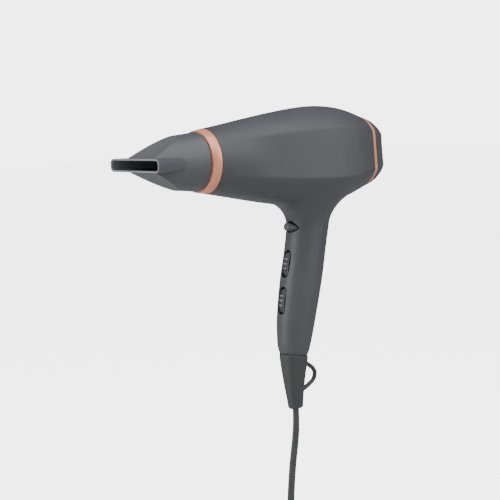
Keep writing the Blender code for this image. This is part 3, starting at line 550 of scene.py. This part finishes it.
def run(start, end, count=16):
    """Points of an almost straight run that eases from one side place to another."""
    points = []
    for t in np.linspace(0, 1, count):
        e = float(ease(t))
        points.append(Vector((start.x + (end.x - start.x) * e, start.y + (end.y - start.y) * e,
                              start.z + (end.z - start.z) * float(t))))
    return points


def lead_path(run_length):
    """Centre line of the whole lead: down from the relief, wound into the hank, out to the plug."""
    wide = HANK_RADII[0]
    points = curve_points(CORD_ROUTE, 0.002)
    x = HANK_LAYERS[0]
    knee = HANK_TOP + wide * sqrt(3)
    points += [Vector((x, wide * (1 - cos(a)), knee - wide * sin(a)))
               for a in np.linspace(0, radians(60), 14)][1:]
    points += arc(x, HANK_TOP, wide, 30, 90, 14)[1:]
    low = HANK_TOP - run_length
    bottoms = [(0, 0), (0, 1), (1, 2), (1, 1), (2, 0), (2, 1)]   # layer and radius of each bend
    tops = [(0, 1), (0, 2), (1, 1), (1, 0), (2, 1), (2, 2)]
    for (b_layer, b_size), (t_layer, t_size) in zip(bottoms, tops):
        radius = HANK_RADII[b_size]
        layer = HANK_LAYERS[b_layer]
        points += run(points[-1], Vector((layer, radius, low)))[1:]
        points += arc(layer, low, radius, 90, 270)[1:]
        radius = HANK_RADII[t_size]
        layer = HANK_LAYERS[t_layer]
        top = HANK_TOP - max(radius - HANK_RADII[1], 0)
        points += run(points[-1], Vector((layer, -radius, top)))[1:]
        points += arc(layer, top, radius, -90, 90)[1:]
    points += run(points[-1], Vector((PLUG_CENTRE.x, 0, SLEEVE_TOP + 0.0004)), 24)[1:]
    return respaced(points, LEAD_STEP)


def path_length(points):
    return sum((b - a).length for a, b in zip(points, points[1:]))


def lead_section():
    """Outline of the flat two-core lead: two round lobes with a shallow groove between them."""
    lobe = LEAD_THICK / 2
    centre = LEAD_WIDTH / 2 - lobe
    right = [(centre + lobe * cos(a), lobe * sin(a))
             for a in (radians(-80 + 20 * k) for k in range(9))]
    left = [(-x, -y) for x, y in right]
    groove = lobe - 0.00035
    return right + [(0, groove)] + left + [(0, -groove)]


def lead_twist(p):
    """Turn of the flat lead about its run, in and out again along the free stretch."""
    down = CORD_ROUTE[0][2] - p.z
    return LEAD_TWIST * float(ease(down / 0.045) * (1 - ease((down - 0.078) / 0.026)))


def make_lead(look):
    """The whole lead. The hank's straight runs are as long as its real length needs."""
    points = lead_path(bisect(0.030, 0.090, 24, lambda length: (
        path_length(lead_path(length)) < LEAD_LENGTH)))
    section = lead_section()
    rings = []
    for i, (p, along) in enumerate(with_direction(points)):
        across = Vector((1, 0, 0))
        across = (across - along * across.dot(along)).normalized()
        twist = lead_twist(p) if i * LEAD_STEP < TWISTED_LENGTH else 0.0
        across = Matrix.Rotation(twist, 3, along) @ across
        up = along.cross(across)
        rings.append([p + across * a + up * b for a, b in section])
    obj = loft("power_lead", rings, smooth=60)
    done(obj, "housing", "dark_rubber", look, "power_cord", "power_cord_hank", "plug_lead")
    return obj, points


def make_tie(look):
    """Soft strap round the hank, with rounded corners."""
    half_x, half_y, corner = 0.0109, 0.0306, 0.0030
    centre = Vector((HANK_LAYERS[1], 0, TIE_Z))
    section = [(0.0, -0.0055), (0.0009, -0.0060), (0.0013, -0.0055), (0.0014, 0.0),
               (0.0013, 0.0055), (0.0009, 0.0060), (0.0, 0.0055)]
    rings = [[centre + Vector((x, y, z)) for x, y in corner_points(half_x, half_y, corner, grow, 6)]
             for grow, z in section]
    obj = loft("lead_tie", rings, closed=True)
    return done(obj, "housing", "black_plastic", look, "hank_tie")


def rounded_box(name, half, round_by, segments, centre):
    bm = bmesh.new()
    bmesh.ops.create_cube(bm, size=1, matrix=Matrix.Diagonal((*[2 * h for h in half], 1)))
    bmesh.ops.bevel(bm, geom=bm.edges[:], offset=round_by, segments=segments, profile=0.5,
                    affect="EDGES")
    obj = from_bmesh(name, bm)
    obj.data.transform(Matrix.Translation(centre))
    return obj


def rod(name, half_length, radius, place, segments=32):
    """Solid cylinder along the place's X, for cutting a hole."""
    profile = [(-half_length, 0), (-half_length, radius), (half_length, radius), (half_length, 0)]
    return turned(name, profile, place, segments)


def make_plug(looks):
    """Safety plug: a case with a parting line, two keys in pockets, two blades and a boot."""
    half_x, half_y, half_z = PLUG_HALF
    body = rounded_box("plug_case", PLUG_HALF, 0.0032, 5, PLUG_CENTRE)
    line_at = PLUG_CENTRE + Vector((0, 0, -0.0120))
    line = rounded_box("plug_line", (half_x + 0.01, half_y + 0.01, 0.00025), 0.0001, 1, line_at)
    core = (half_x - 0.0005, half_y - 0.0005, 0.004)
    boolean(line, rounded_box("plug_core", core, 0.0030, 4, line_at))
    boolean(body, line)
    pockets = bmesh.new()
    pieces = []
    blade_half = (0.0032, 0.00075, 0.0088)
    for side, name, word, side_name in ((-1, "test", "white", "left"),
                                        (1, "reset", "red", "right")):
        centre = PLUG_CENTRE + Vector((half_x, side * 0.0075, 0.002))
        size = Matrix.Diagonal((0.0090, 0.0086, 0.0066, 1))
        bmesh.ops.create_cube(pockets, size=1, matrix=Matrix.Translation(centre) @ size)
        key = rounded_box(f"{name}_key", (0.0022, 0.0039, 0.0029), 0.0007, 3,
                          centre + Vector((-0.0006, 0, 0)))
        pieces.append(done(key, f"plug_{name}", f"{word}_plastic", looks[word],
                           f"plug_{name}_button"))
        blade_at = PLUG_CENTRE + Vector((0, side * 0.00635, -half_z - blade_half[2] - GAP))
        blade = rounded_box(f"blade_{side_name}", blade_half, 0.0005, 2, blade_at)
        hole_at = Matrix.Translation(blade_at + Vector((0, 0, -0.0048))) @ CROSSWISE
        boolean(blade, rod("blade_hole", 0.003, 0.0015, hole_at))
        pieces.append(done(shade(blade), "housing", "blade_metal", looks["brass"],
                           f"plug_blade_{side_name}"))
    boolean(body, from_bmesh("plug_pockets", pockets))
    pieces.append(done(shade(body), "housing", "black_plastic", looks["black"], "plug_body"))

    bottom = PLUG_CENTRE.z + half_z + GAP
    height, rings_high = 0.0190, 57
    wide = [(0.0, 0.0072), (0.004, 0.0068), (0.012, 0.0054), (height, 0.0044)]
    thick = [(0.0, 0.0050), (0.004, 0.0046), (0.012, 0.0038), (height, 0.0030)]
    rings = []
    for k in range(rings_high + 1):
        up = height * k / rings_high
        groove = 0.0006 if k % 6 in (2, 3) and 4 < k < 54 else 0.0
        rings.append(oval(bottom + up, PLUG_CENTRE.x, smooth(wide, up) - groove,
                          smooth(thick, up) - groove, 0.0, 40))
    sleeve = loft("plug_boot", rings, smooth=50)
    pieces.append(done(sleeve, "housing", "dark_rubber", looks["rubber"], "plug_sleeve"))
    return pieces


def oval(z, x, half_x, half_y, tilt=0.0, count=72):
    """Level or tilted ring, a little squarer than an ellipse."""
    points = []
    for a in turns(count):
        dx = half_x * bulged(cos(a), 0.8)
        points.append(Vector((x + dx, half_y * bulged(sin(a), 0.8), z - dx * tilt)))
    return points


# ---- barrel and handle skin ----

RADIUS_AT, RADIUS = fine_table(BARREL, -0.030, 0.215)
_, SAG = fine_table(BELLY, -0.030, 0.215)
HANDLE_AT, HANDLE_X = fine_table([(h, x) for h, x, _ in HANDLE], -0.095, 0.12)
_, HANDLE_HALF = fine_table([(h, a) for h, _, a in HANDLE], -0.095, 0.12)


def barrel_radius(s, angle):
    """Distance of the barrel's skin from its axis, by angle from straight up."""
    radius = np.interp(s, RADIUS_AT, RADIUS)
    depth = ease(s / FLAT_FADE)
    off = np.minimum(np.abs(np.abs(angle) - FLAT_ANGLE), 1.2)
    chord = cos(FLAT_HALF) / np.cos(off)
    soft = CREASE / radius
    chord = (1 + chord - np.sqrt((1 - chord) ** 2 + soft ** 2)) / 2
    below = ease((np.abs(angle) - radians(105)) / radians(60))
    return radius * (1 + depth * (chord - 1)) + np.interp(s, RADIUS_AT, SAG) * below


def barrel_ring(s, inset=0.0, count=240):
    """Points round the barrel's skin, or as far inside it as the inset says."""
    angles = np.linspace(-pi, pi, count, endpoint=False)
    r = barrel_radius(np.full(count, s), angles) - inset
    return [Vector((FRONT_X + s, q * sin(a), AXIS_Z + q * cos(a)))
            for q, a in zip(r, angles)]


def barrel_distance(p):
    y, up = p[:, 1], p[:, 2] - AXIS_Z
    return np.hypot(y, up) - barrel_radius(p[:, 0] - FRONT_X, np.arctan2(y, up))


def handle_level(p):
    """Height of a point along the handle, where the foot's plane is tilted."""
    z = p[:, 2]
    tilt = tan(HANDLE_FOOT_TILT) * (1 - ease((z - FOOT_Z) / 0.050))
    return z + (p[:, 0] - np.interp(z, HANDLE_AT, HANDLE_X)) * tilt


def handle_distance(p):
    level = handle_level(p)
    above = np.maximum(p[:, 2] - HANDLE_TOP, 0) * 3
    dx = p[:, 0] - np.interp(level, HANDLE_AT, HANDLE_X)
    deep = np.interp(level, HANDLE_AT, HANDLE_HALF)
    wide = deep * HANDLE_WIDTH
    power = HANDLE_POWER
    reach = np.hypot(dx, p[:, 1]) + 1e-9
    share = (np.abs(dx / deep) ** power + np.abs(p[:, 1] / wide) ** power + 1e-12) ** (1 / power)
    return reach * (1 - 1 / share) + above


def body_distance(p):
    """How far points are outside the barrel and handle, which meet in round fillets."""
    barrel, handle = barrel_distance(p), handle_distance(p)
    dx = p[:, 0] - np.interp(p[:, 2], HANDLE_AT, HANDLE_X)
    share = dx / (np.hypot(dx, p[:, 1]) + 1e-9)
    front, rear, side = FILLETS
    fillet = (side + (front - side) * np.maximum(-share, 0) ** 2
              + (rear - side) * np.maximum(share, 0) ** 2)
    u, v = np.maximum(fillet - barrel, 0), np.maximum(fillet - handle, 0)
    return np.maximum(fillet, np.minimum(barrel, handle)) - np.hypot(u, v)


def slope(p, step=2e-5):
    """Direction in which points leave the skin fastest."""
    parts = []
    for axis in range(3):
        shift = np.zeros(3)
        shift[axis] = step
        parts.append((body_distance(p + shift) - body_distance(p - shift)) / (2 * step))
    return np.stack(parts, 1)


def onto_skin(p):
    for _ in range(5):
        g = slope(p)
        p = p - g * (body_distance(p) / np.maximum((g * g).sum(1), 0.05))[:, None]
    return p


def skin_blank():
    """One closed, even mesh of the barrel and handle, longer than both at every open end."""
    bm = bmesh.new()
    add_rings(bm, [barrel_ring(s, 0.0, 96) for s in np.linspace(-0.008, BARREL_END + 0.008, 60)])
    power = 2 / HANDLE_POWER
    rings = []
    for z in np.linspace(-0.082, 0.100, 50):
        x = float(np.interp(z, HANDLE_AT, HANDLE_X))
        deep = float(np.interp(max(z, -0.068), HANDLE_AT, HANDLE_HALF))
        rings.append([Vector((x + deep * bulged(cos(a), power),
                              deep * HANDLE_WIDTH * bulged(sin(a), power), z))
                      for a in turns(64)])
    add_rings(bm, rings)
    obj = from_bmesh("skin_blank", bm, 0)
    step = obj.modifiers.new("even", "REMESH")
    step.mode = "VOXEL"
    step.voxel_size = 0.0013
    bake(obj)
    return obj


def relax(mesh, p, keep, rounds=3):
    """Slide points along the skin towards their neighbours' middle."""
    edges = read(mesh.edges, "vertices", np.int32, 2)
    a, b = edges.T
    count = np.bincount(edges.ravel(), minlength=len(p))[:, None]
    for _ in range(rounds):
        for _ in range(4):
            total = np.zeros_like(p)
            np.add.at(total, a, p[b])
            np.add.at(total, b, p[a])
            p = np.where(keep[:, None], p, p * 0.4 + 0.6 * total / count)
        p = np.where(keep[:, None], p, onto_skin(p))
    return p


def cut_plane(bm, point, normal):
    """Cut the mesh and drop what lies on the normal's side."""
    geom = bm.verts[:] + bm.edges[:] + bm.faces[:]
    bmesh.ops.bisect_plane(bm, geom=geom, plane_co=point, plane_no=normal, dist=1e-7,
                           clear_outer=True)


def skin_surface():
    """The outer skin, open at the outlet, at the intake and under the handle."""
    obj = skin_blank()
    mesh = obj.data
    p = read(mesh.vertices, "co", float, 3)
    keep = ((p[:, 0] < FRONT_X - 0.005) | (p[:, 0] > FRONT_X + BARREL_END + 0.005)
            | (p[:, 2] < FOOT_Z - 0.008))
    p = np.where(keep[:, None], p, onto_skin(p))
    p = relax(mesh, p, keep)
    mesh.vertices.foreach_set("co", p.ravel())
    bm = bmesh.new()
    bm.from_mesh(mesh)
    cut_plane(bm, (FRONT_X, 0, 0), (-1, 0, 0))
    cut_plane(bm, (FRONT_X + BARREL_END, 0, 0), (1, 0, 0))
    tilt = tan(HANDLE_FOOT_TILT)
    foot_x = float(np.interp(FOOT_Z, HANDLE_AT, HANDLE_X))
    cut_plane(bm, (foot_x, 0, FOOT_Z), Vector((-tilt, 0, -1)).normalized())
    bmesh.ops.dissolve_degenerate(bm, edges=bm.edges[:], dist=2e-5)
    bpy.data.objects.remove(obj, do_unlink=True)
    return bm


def half_shell(name, side, surface):
    """One shell: its half of the skin, thickened inwards. Side is -1 at -Y and 1 at +Y."""
    bm = surface.copy()
    cut_plane(bm, (0, side * SEAM, 0), (0, -side, 0))
    obj = from_bmesh(name, bm, 0)
    step = obj.modifiers.new("wall", "SOLIDIFY")
    step.thickness = WALL
    step.offset = -1
    step.use_even_offset = False
    step.use_rim = True
    bake(obj)
    return obj


def true_normals(obj):
    """Shade the outer skin by the form's own slope, and the rest by its faces."""
    mesh = obj.data
    shade(obj, 40)
    normals = read(mesh.corner_normals, "vector", np.float32, 3)
    owner = read(mesh.loops, "vertex_index", np.int32)
    p = read(mesh.vertices, "co", float, 3)
    on_skin = np.abs(body_distance(p)) < 0.0002
    g = slope(p)
    g /= np.maximum(np.linalg.norm(g, axis=1), 1e-9)[:, None]
    face_normals = read(mesh.polygons, "normal", np.float32, 3)
    totals = read(mesh.polygons, "loop_total", np.int32)
    loop_face = np.repeat(np.arange(len(totals)), totals)
    same = (face_normals[loop_face] * g[owner]).sum(1) > 0.80
    use = on_skin[owner] & same
    normals[use] = g[owner][use]
    mesh.normals_split_custom_set(normals.tolist())


def stadium(length, width, steps=14):
    """Slot with round ends, as (along, across) pairs."""
    r = width / 2
    half = length / 2 - r
    ends = [(half, 0.0), (-half, pi)]
    return [(c + r * cos(a0 - pi / 2 + pi * k / steps),
             r * sin(a0 - pi / 2 + pi * k / steps))
            for c, a0 in ends for k in range(steps + 1)]


def almond_ring(x, half_long, half_high, steps=18):
    """Pointed oval across the handle's front at the cool-shot key, x deep from the skin."""
    radius = (half_long ** 2 + half_high ** 2) / (2 * half_high)
    sweep = asin(half_long / radius)
    arch = [(radius * sin(a), radius * cos(a) + half_high - radius)
            for a in np.linspace(-sweep, sweep, steps)]
    outline = arch + [(-y, -z) for y, z in arch[1:-1]]
    return [spot_on_handle(COOL_SHOT) @ Vector((x, y, z)) for y, z in outline]


def control_openings():
    """What the shells leave open for the rockers and the cool-shot key."""
    bm = bmesh.new()
    outline = stadium(*SLOT_SIZE)
    for spot in ROCKERS.values():
        place = spot_on_handle(spot)
        add_rings(bm, [[place @ Vector((x, y, z)) for z, y in outline] for x in (-0.006, 0.008)])
    long, high = ALMOND
    add_rings(bm, [almond_ring(-0.009, long + 0.0012, high + 0.0009),
                   almond_ring(0.0012, long, high), almond_ring(0.012, long, high)])
    return from_bmesh("control_openings", bm)


def bores():
    """Holes for the screw heads through the right shell."""
    bm = bmesh.new()
    for x, z in SCREW_SPOTS:
        profile = [(0.008, 0), (0.008, 0.0033), (0.060, 0.0033), (0.060, 0)]
        add_turned(bm, profile, Matrix.Translation((x, 0, z)) @ CROSSWISE, 40)
    return from_bmesh("bores", bm)


def screw_wells(look):
    """Moulded wells that the screw heads sit in, from the middle of the case to its wall."""
    bm = bmesh.new()
    for x, z in SCREW_SPOTS:
        def ring(radius, y):
            return [Vector((x + a, y, z + b)) for a, b in circle(radius, 40)]

        def rim(radius):
            """The ring where the well meets the wall."""
            points = []
            for a, b in circle(radius, 40):
                y = bisect(0.004, 0.060, 22, lambda y: (
                    body_distance(np.array([[x + a, y, z + b]]))[0] < -0.0009))
                points.append(Vector((x + a, y, z + b)))
            return points

        rings = [ring(0.0016, 0.0042), ring(0.0016, 0.0050), ring(0.0031, 0.0050), rim(0.0031),
                 rim(0.0039), ring(0.0039, 0.0042)]
        add_rings(bm, rings, closed=True)
    return done(from_bmesh("screw_wells", bm), "housing", "soft_touch_grey", look)


def make_shells(looks):
    surface = skin_surface()
    for name, side, node in (("shell_left", -1, "housing_left"),
                             ("shell_right", 1, "housing_right")):
        obj = half_shell(name, side, surface)
        boolean(obj, control_openings())
        if side > 0:
            boolean(obj, bores())
        true_normals(obj)
        done(obj, "housing", "soft_touch_grey", looks["shell"], node)
    surface.free()


# ---- trim rings and intake cover ----

def cover_ring(s, inset):
    """As barrel_ring, and past the barrel's table it keeps the table's last outline."""
    reach = min(s, BARREL[-1][0])
    return [p + Vector((s - reach, 0, 0)) for p in barrel_ring(reach, inset)]


def make_rings(looks):
    """The rose gold rings, in the outlet and between the shells and the cover."""
    profile = [(-RING_LENGTH, RING_BORE), (-RING_LENGTH, 0.0268), (-0.00885, 0.0273),
               (-0.0084, 0.0276), (-0.0042, 0.0283), (-0.0009, 0.02885), (-0.0004, 0.0288),
               (-GAP, 0.0285), (-GAP, RING_SEAT), (0.006, RING_SEAT), (0.006, RING_BORE)]
    front = turned("outlet_ring", profile, segments=160, smooth=25)
    done(front, "housing", "rose_gold", looks["rose"], "front_ring")
    start, end, lip = BARREL_END + GAP, REAR_RING_END, 0.0003
    outline = [(start, 0.0026), (start, lip), (start + lip, 0.0), (end - lip, 0.0), (end, lip),
               (end, 0.0026)]
    rings = [barrel_ring(s, inset) for s, inset in outline]
    rear = loft("intake_ring", rings, closed=True, smooth=25)
    done(rear, "housing", "rose_gold", looks["rose"], "rear_ring")


def grille_slots(x0, x1, radii, spokes, rib):
    """Curved slots in round rows, with ribs of one width between them."""
    bm = bmesh.new()
    steps = 12
    centre = Vector((FRONT_X, 0, AXIS_Z))
    for inner, outer in radii:
        margin = rib / 2 / inner
        sweep = 2 * pi / spokes - 2 * margin
        for start in turns(spokes):
            rings = []
            for i in range(steps + 1):
                a = start + margin + sweep * i / steps
                out = Vector((0, sin(a), cos(a)))
                rings.append([centre + Vector((x, 0, 0)) + out * r
                              for x, r in ((x0, inner), (x1, inner), (x1, outer), (x0, outer))])
            add_rings(bm, rings)
    return from_bmesh("grille_slots", bm)


def make_cover(looks):
    """Intake cover with a slotted end face, and the lint screen behind the slots."""
    start = COVER_START
    outer = [(0.1942, 0.0062), (0.1940, 0.0052), (0.1935, 0.0042), (0.1926, 0.0030),
             (0.1915, 0.0020), (0.1900, 0.0011), (0.1880, 0.0004), (0.1855, 0.0001),
             (start + 0.0003, 0.0), (start, 0.0003)]
    inner = [(0.1840, 0.0046), (0.1870, 0.0026), (0.1900, 0.0036), (0.1915, 0.0058)]
    forward = Vector((BARREL_END - 0.0040 - start, 0, 0))
    rings = [cover_ring(s, inset) for s, inset in outer] + [barrel_ring(start, 0.0034)]
    rings += [[p + forward for p in barrel_ring(start, inset)] for inset in (0.0034, 0.0050)]
    rings += [cover_ring(s, inset) for s, inset in inner]
    cover = loft("intake_grille", rings, smooth=40)
    rows = [(0.0060, 0.0092), (0.0114, 0.0146), (0.0168, 0.0200)]
    boolean(cover, grille_slots(0.188, 0.198, rows, 8, 0.0020))
    done(shade(cover, 30), "intake_cover", "soft_touch_grey", looks["shell"], "rear_cover")
    profile = [(0.1898, 0), (0.1898, 0.0208), (0.1886, 0.0208), (0.1886, 0.0225),
               (0.1904, 0.0225), (0.1904, 0)]
    screen = turned("lint_screen", profile)
    done(screen, "intake_cover", "lint_mesh", looks["mesh"], "filter_screen")


# ---- nozzle ----

def bill_ring(s, inset):
    """Outline of the flat bill, which widens towards the mouth."""
    wide = BILL_HALF_WIDTH - BILL_FLARE * (s + NOZZLE_LENGTH) - inset
    high = BILL_HALF_HEIGHT - inset
    corner = max(BILL_CORNER - inset, 0.001)
    return [Vector((FRONT_X + s, y, AXIS_Z + z))
            for y, z in corner_points(wide, high, corner, 0.0, 10)]


def nozzle_form(name, inset):
    """Solid form of the nozzle, or with an inset, of the hollow in it.

    A round sleeve is cut to a wedge and joined with the bill.
    """
    sleeve = NOZZLE_ROUND[0][0] - 0.0005
    neck = NOZZLE_NECK - inset
    at, radius = fine_table([(-s, r) for s, r in NOZZLE_ROUND], -sleeve, 0.070, 24)
    cone = [(-float(s), float(r)) for s, r in zip(at, radius)]
    if inset:
        profile = [(0.0065, 0), (0.0065, neck), (sleeve, neck)]
        profile += [(s, r - inset) for s, r in cone[4:]]
    else:
        profile = [(0.003, 0), (0.003, neck), (sleeve, neck), (sleeve, cone[0][1] - 0.0004)]
        profile += [(s - 0.0004 if i == 0 else s, r) for i, (s, r) in enumerate(cone)]
    body = turned(name, profile + [(-0.070, 0)], segments=160)
    slope_angle = atan2(WEDGE_START[1] - WEDGE_END[1], WEDGE_START[0] - WEDGE_END[0])
    drop = inset / cos(slope_angle)
    outline = [(0.010, 0.032), (WEDGE_START[0], WEDGE_START[1] - drop),
               (WEDGE_END[0], WEDGE_END[1] - drop)]
    outline += [(s, -z) for s, z in reversed(outline)]
    rings = [[Vector((FRONT_X + s, y, AXIS_Z + z)) for s, z in outline] for y in (-0.05, 0.05)]
    boolean(body, loft(name + "_wedge", rings), "INTERSECT")
    mouth = -NOZZLE_LENGTH
    stations = [(s, inset) for s in BILL_STATIONS]
    if inset:
        stations += [(mouth + 0.0006, inset), (mouth - 0.0002, inset - 0.0004),
                     (mouth - 0.003, inset - 0.0004)]
    else:
        stations += [(mouth + 0.0004, 0), (mouth, 0.0004)]
    boolean(body, loft(name + "_bill", [bill_ring(s, i) for s, i in stations]), "UNION")
    return body


def make_nozzle(looks):
    nozzle = nozzle_form("slot_nozzle", 0.0)
    nozzle.data.materials.append(looks["nozzle"])
    # The hollow's faces are black plastic darkened to near-black by painted shade, for the nozzle's
    # dark depth.
    hollow = nozzle_form("nozzle_hollow", NOZZLE_WALL)
    hollow.data.materials.append(looks["inside"])
    boolean(nozzle, hollow)
    # The mouth's rim faces take the lighter grey, a painted highlight along the rim.
    nozzle.data.materials.append(looks["rim"])
    for face in nozzle.data.polygons:
        if face.normal.x < -0.4 and face.center.x < FRONT_X - NOZZLE_LENGTH + 0.0008:
            face.material_index = 2
    done(shade(nozzle, 24), "nozzle", "soft_touch_grey", None, "concentrator_nozzle")


# ---- controls ----

def rocker_face(y, z, past):
    """Where the key's face is at a place across and along it. Past is how far z is in the end."""
    half, side = ROCKER_FACE[0] / 2, ROCKER_FACE[1] / 2
    top = -ROCKER_PIVOT_DEPTH - GAP + 0.0022 * (z / half) ** 2
    edge = min(side - hypot(past, y), 0.0009) / 0.0009
    top += 0.0007 * (1 - max(edge, 0.0)) ** 2
    for rib in RIBS:
        across = float(ease((RIB_HALF[0] - abs(y)) / 0.0006))
        lift = float(ease((RIB_HALF[1] - abs(z - rib)) / 0.00045))
        top -= 0.0008 * across * lift
    return top


def make_rocker(name, spot, looks):
    """Hollowed rocker with three soft grip ribs and rounded ends."""
    half, side = ROCKER_FACE[0] / 2, ROCKER_FACE[1] / 2
    bm = bmesh.new()
    rows, columns = 150, 28
    grid = []
    for i in range(rows + 1):
        z = (half * sin(pi * (i / rows - 0.5)) * 0.35
             + (half * (2 * i / rows - 1)) * 0.65)
        past = max(abs(z) - (half - side), 0.0)
        reach = sqrt(max(side * side - past * past, 0.0))
        row = []
        for k in range(columns + 1):
            y = reach * sin(pi / 2 * (2 * k / columns - 1))
            row.append(bm.verts.new((rocker_face(y, z, past), y, z)))
        grid.append(row)
    for low, high in zip(grid, grid[1:]):
        for k in range(columns):
            face = bm.faces.new((low[k], low[k + 1], high[k + 1], high[k]))
            middle = face.calc_center_median()
            # Faces on the rib tops take the lighter grey, a painted highlight on the ribs.
            on_rib = min(abs(middle.z - rib) for rib in RIBS) < 0.0007
            face.material_index = 2 if on_rib and abs(middle.y) < 0.0025 else 0
    foot_z, foot_x = zip(*ROCKER_FOOT)
    sides = [[row[0] for row in grid], [row[-1] for row in grid]]
    floor = [[bm.verts.new((np.interp(abs(v.co.z), foot_z, foot_x), v.co.y, v.co.z))
              for v in side_verts] for side_verts in sides]
    # The key's sides and floor take the near-black: painted shade standing for the dark gap round
    # the key.
    for i in range(rows):
        strips = [(sides[0][i], sides[0][i + 1], floor[0][i + 1], floor[0][i]),
                  (sides[1][i + 1], sides[1][i], floor[1][i], floor[1][i + 1]),
                  (floor[0][i], floor[0][i + 1], floor[1][i + 1], floor[1][i])]
        for strip in strips:
            bm.faces.new(strip).material_index = 1
    bmesh.ops.remove_doubles(bm, verts=bm.verts[:], dist=1e-6)
    obj = from_bmesh(f"{name}_key", bm, 45)
    # Slots: the key's face, near-black painted shade on its sides, and a painted highlight on the
    # rib tops.
    for look in ("button", "inside", "rib_highlight"):
        obj.data.materials.append(looks[look])
    boolean(obj, rod(f"{name}_bore", 0.006, ROCKER_BORE, CROSSWISE))
    shade(obj, 45)
    obj.data.transform(spot_on_handle(spot, ROCKER_PIVOT_DEPTH))
    done(obj, f"{name}_switch", "black_plastic", None, f"{name}_rocker")


def make_button(looks):
    """Round key with a flank that tapers to a point at each side, on a pointed oval plate."""
    place = spot_on_handle(COOL_SHOT)
    bm = bmesh.new()
    face = -BUTTON_PROUD
    discs = [(face, 0.0, 0.0034, 48), (face + 0.0002, 0.0, 0.0038, 48),
             (face + 0.0007, 0.0, 0.0040, 48), (0.0046, 0.0, 0.0039, 48)]
    discs += [(x, side * out, 0.0005, 12)
              for side in (-1, 1) for x, out in ((0.0020, 0.0070), (0.0046, 0.0078))]
    for x, y, radius, count in discs:
        for a, b in circle(radius, count):
            bm.verts.new(place @ Vector((x, y + a, b)))
    hull = bmesh.ops.convex_hull(bm, input=bm.verts[:])
    inner = [v for v in hull["geom_interior"] if isinstance(v, bmesh.types.BMVert)]
    bmesh.ops.delete(bm, geom=inner, context="VERTS")
    key = from_bmesh("cool_shot_key", bm, 28)
    key.data.materials.append(looks["key"])
    long, high = ALMOND
    # The plate behind the key is near-black: a painted shadow in the opening round the key.
    plate = loft("cool_shot_plate",
                 [almond_ring(x, long - 0.0004, high - 0.0004) for x in (0.0043, 0.0062)])
    plate.data.materials.append(looks["inside"])
    boolean(key, plate, "UNION")
    done(shade(key, 28), "cool_shot", "soft_touch_grey", None, "cool_shot_button")


def make_spring(look):
    """Return spring behind the cool-shot key."""
    place = spot_on_handle(COOL_SHOT)
    start, length, coil, wire = 0.0070, 0.0058, 0.0036, 0.00035
    steps, per_turn = 180, 40
    forward = Vector((1, 0, 0))
    rings = []
    for k in range(steps + 1):
        a = 2 * pi * k / per_turn
        out = Vector((0, cos(a), sin(a)))
        centre = forward * (start + length * k / steps) + out * coil
        rings.append([place @ (centre + out * a + forward * b) for a, b in circle(wire, 12)])
    spring = loft("return_spring", rings, smooth=60)
    done(spring, "housing", "steel", look, "cool_shot_spring")
    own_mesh(spring)


# ---- strain relief ----

def make_relief(looks):
    """Tapered boot with a soft fold down each front corner, and the hanging loop behind it."""
    tilt = tan(HANDLE_FOOT_TILT)
    columns = [sorted((row[0], row[i]) for row in RELIEF) for i in (1, 2, 3, 4)]
    rings = [oval(-0.0600, -0.0112, 0.0086, 0.0062, tilt),
             oval(RELIEF_TOP_Z, -0.0118, 0.0086, 0.0062, tilt)]
    levels = [RELIEF_TOP_Z, -0.0698] + list(np.linspace(-0.0702, RELIEF_TIP_Z, 60))
    for z in levels + [-0.1208, -0.1213, -0.1216]:
        at = max(z, RELIEF_TIP_Z)
        x, half_x, half_y, lean = (smooth(column, at) for column in columns)
        shrink = 0.0004 if z == levels[0] else 0.00012 if z == levels[1] else 0.0
        if z < RELIEF_TIP_Z:
            shrink = 0.0013 * ((RELIEF_TIP_Z - z) / 0.0016) ** 1.4
        fold = float(ease((-0.0712 - z) / 0.002) * ease((z + 0.1206) / 0.002))
        shaped = []
        for p in oval(z, x, half_x - shrink, half_y - shrink, tilt * lean):
            out = Vector((p.x - x, p.y, 0))
            a = atan2(abs(out.y), -out.x)
            dent = FOLD_DEPTH * fold * exp(-((a - FOLD_AT) / FOLD_HALF) ** 2)
            shaped.append(p - out.normalized() * dent)
        rings.append(shaped)
    boot = loft("cord_boot", rings, smooth=40)
    across = Vector((0, 1, 0))
    loop_rings = []
    for p, along in with_direction(curve_points(LOOP_ARCH, 0.0011)):
        up = along.cross(across)
        loop_rings.append([p + across * a + up * b for a, b in circle(LOOP_RADIUS, 20)])
    boolean(boot, loft("loop", loop_rings), "UNION")
    done(shade(boot, 40), "housing", "dark_rubber", looks["rubber"], "strain_relief")


# ---- the CAD parts that stay as they are ----

KEPT = {
    "heat": ("outlet_grille", "fan_duct", "speed_switch_body", "heat_switch_body", "cord_clamp"),
    "mica": ("mica_sleeve", "heater_frame"),
    "wire": ("heater_coil",),
    "black": ("thermostat", "fan_impeller", "ion_module", "cool_shot_switch"),
    "white": ("thermal_fuse",),
    "zinc": ("motor_can",),
    "steel": ("motor_shaft", "ion_emitter", "speed_rocker_pin", "heat_rocker_pin",
              "housing_screw_upper", "housing_screw_middle", "housing_screw_lower",
              "clamp_screw_a", "clamp_screw_b"),
    "board": ("wiring_board",),
}


def repaint_kept(looks):
    for look, names in KEPT.items():
        for name in names:
            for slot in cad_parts[name].material_slots:
                slot.material = looks[look]


def build():
    looks = make_looks()
    make_camera()
    make_stage()
    make_lights()
    lead, points = make_lead(looks["lead"])
    tie = make_tie(looks["black"])
    plug = make_plug(looks)
    make_shells(looks)
    screw_wells(looks["shell"])
    make_rings(looks)
    make_cover(looks)
    make_nozzle(looks)
    for name, spot in ROCKERS.items():
        make_rocker(name, spot, looks)
    make_button(looks)
    make_spring(looks["steel"])
    make_relief(looks)
    repaint_kept(looks)


build()
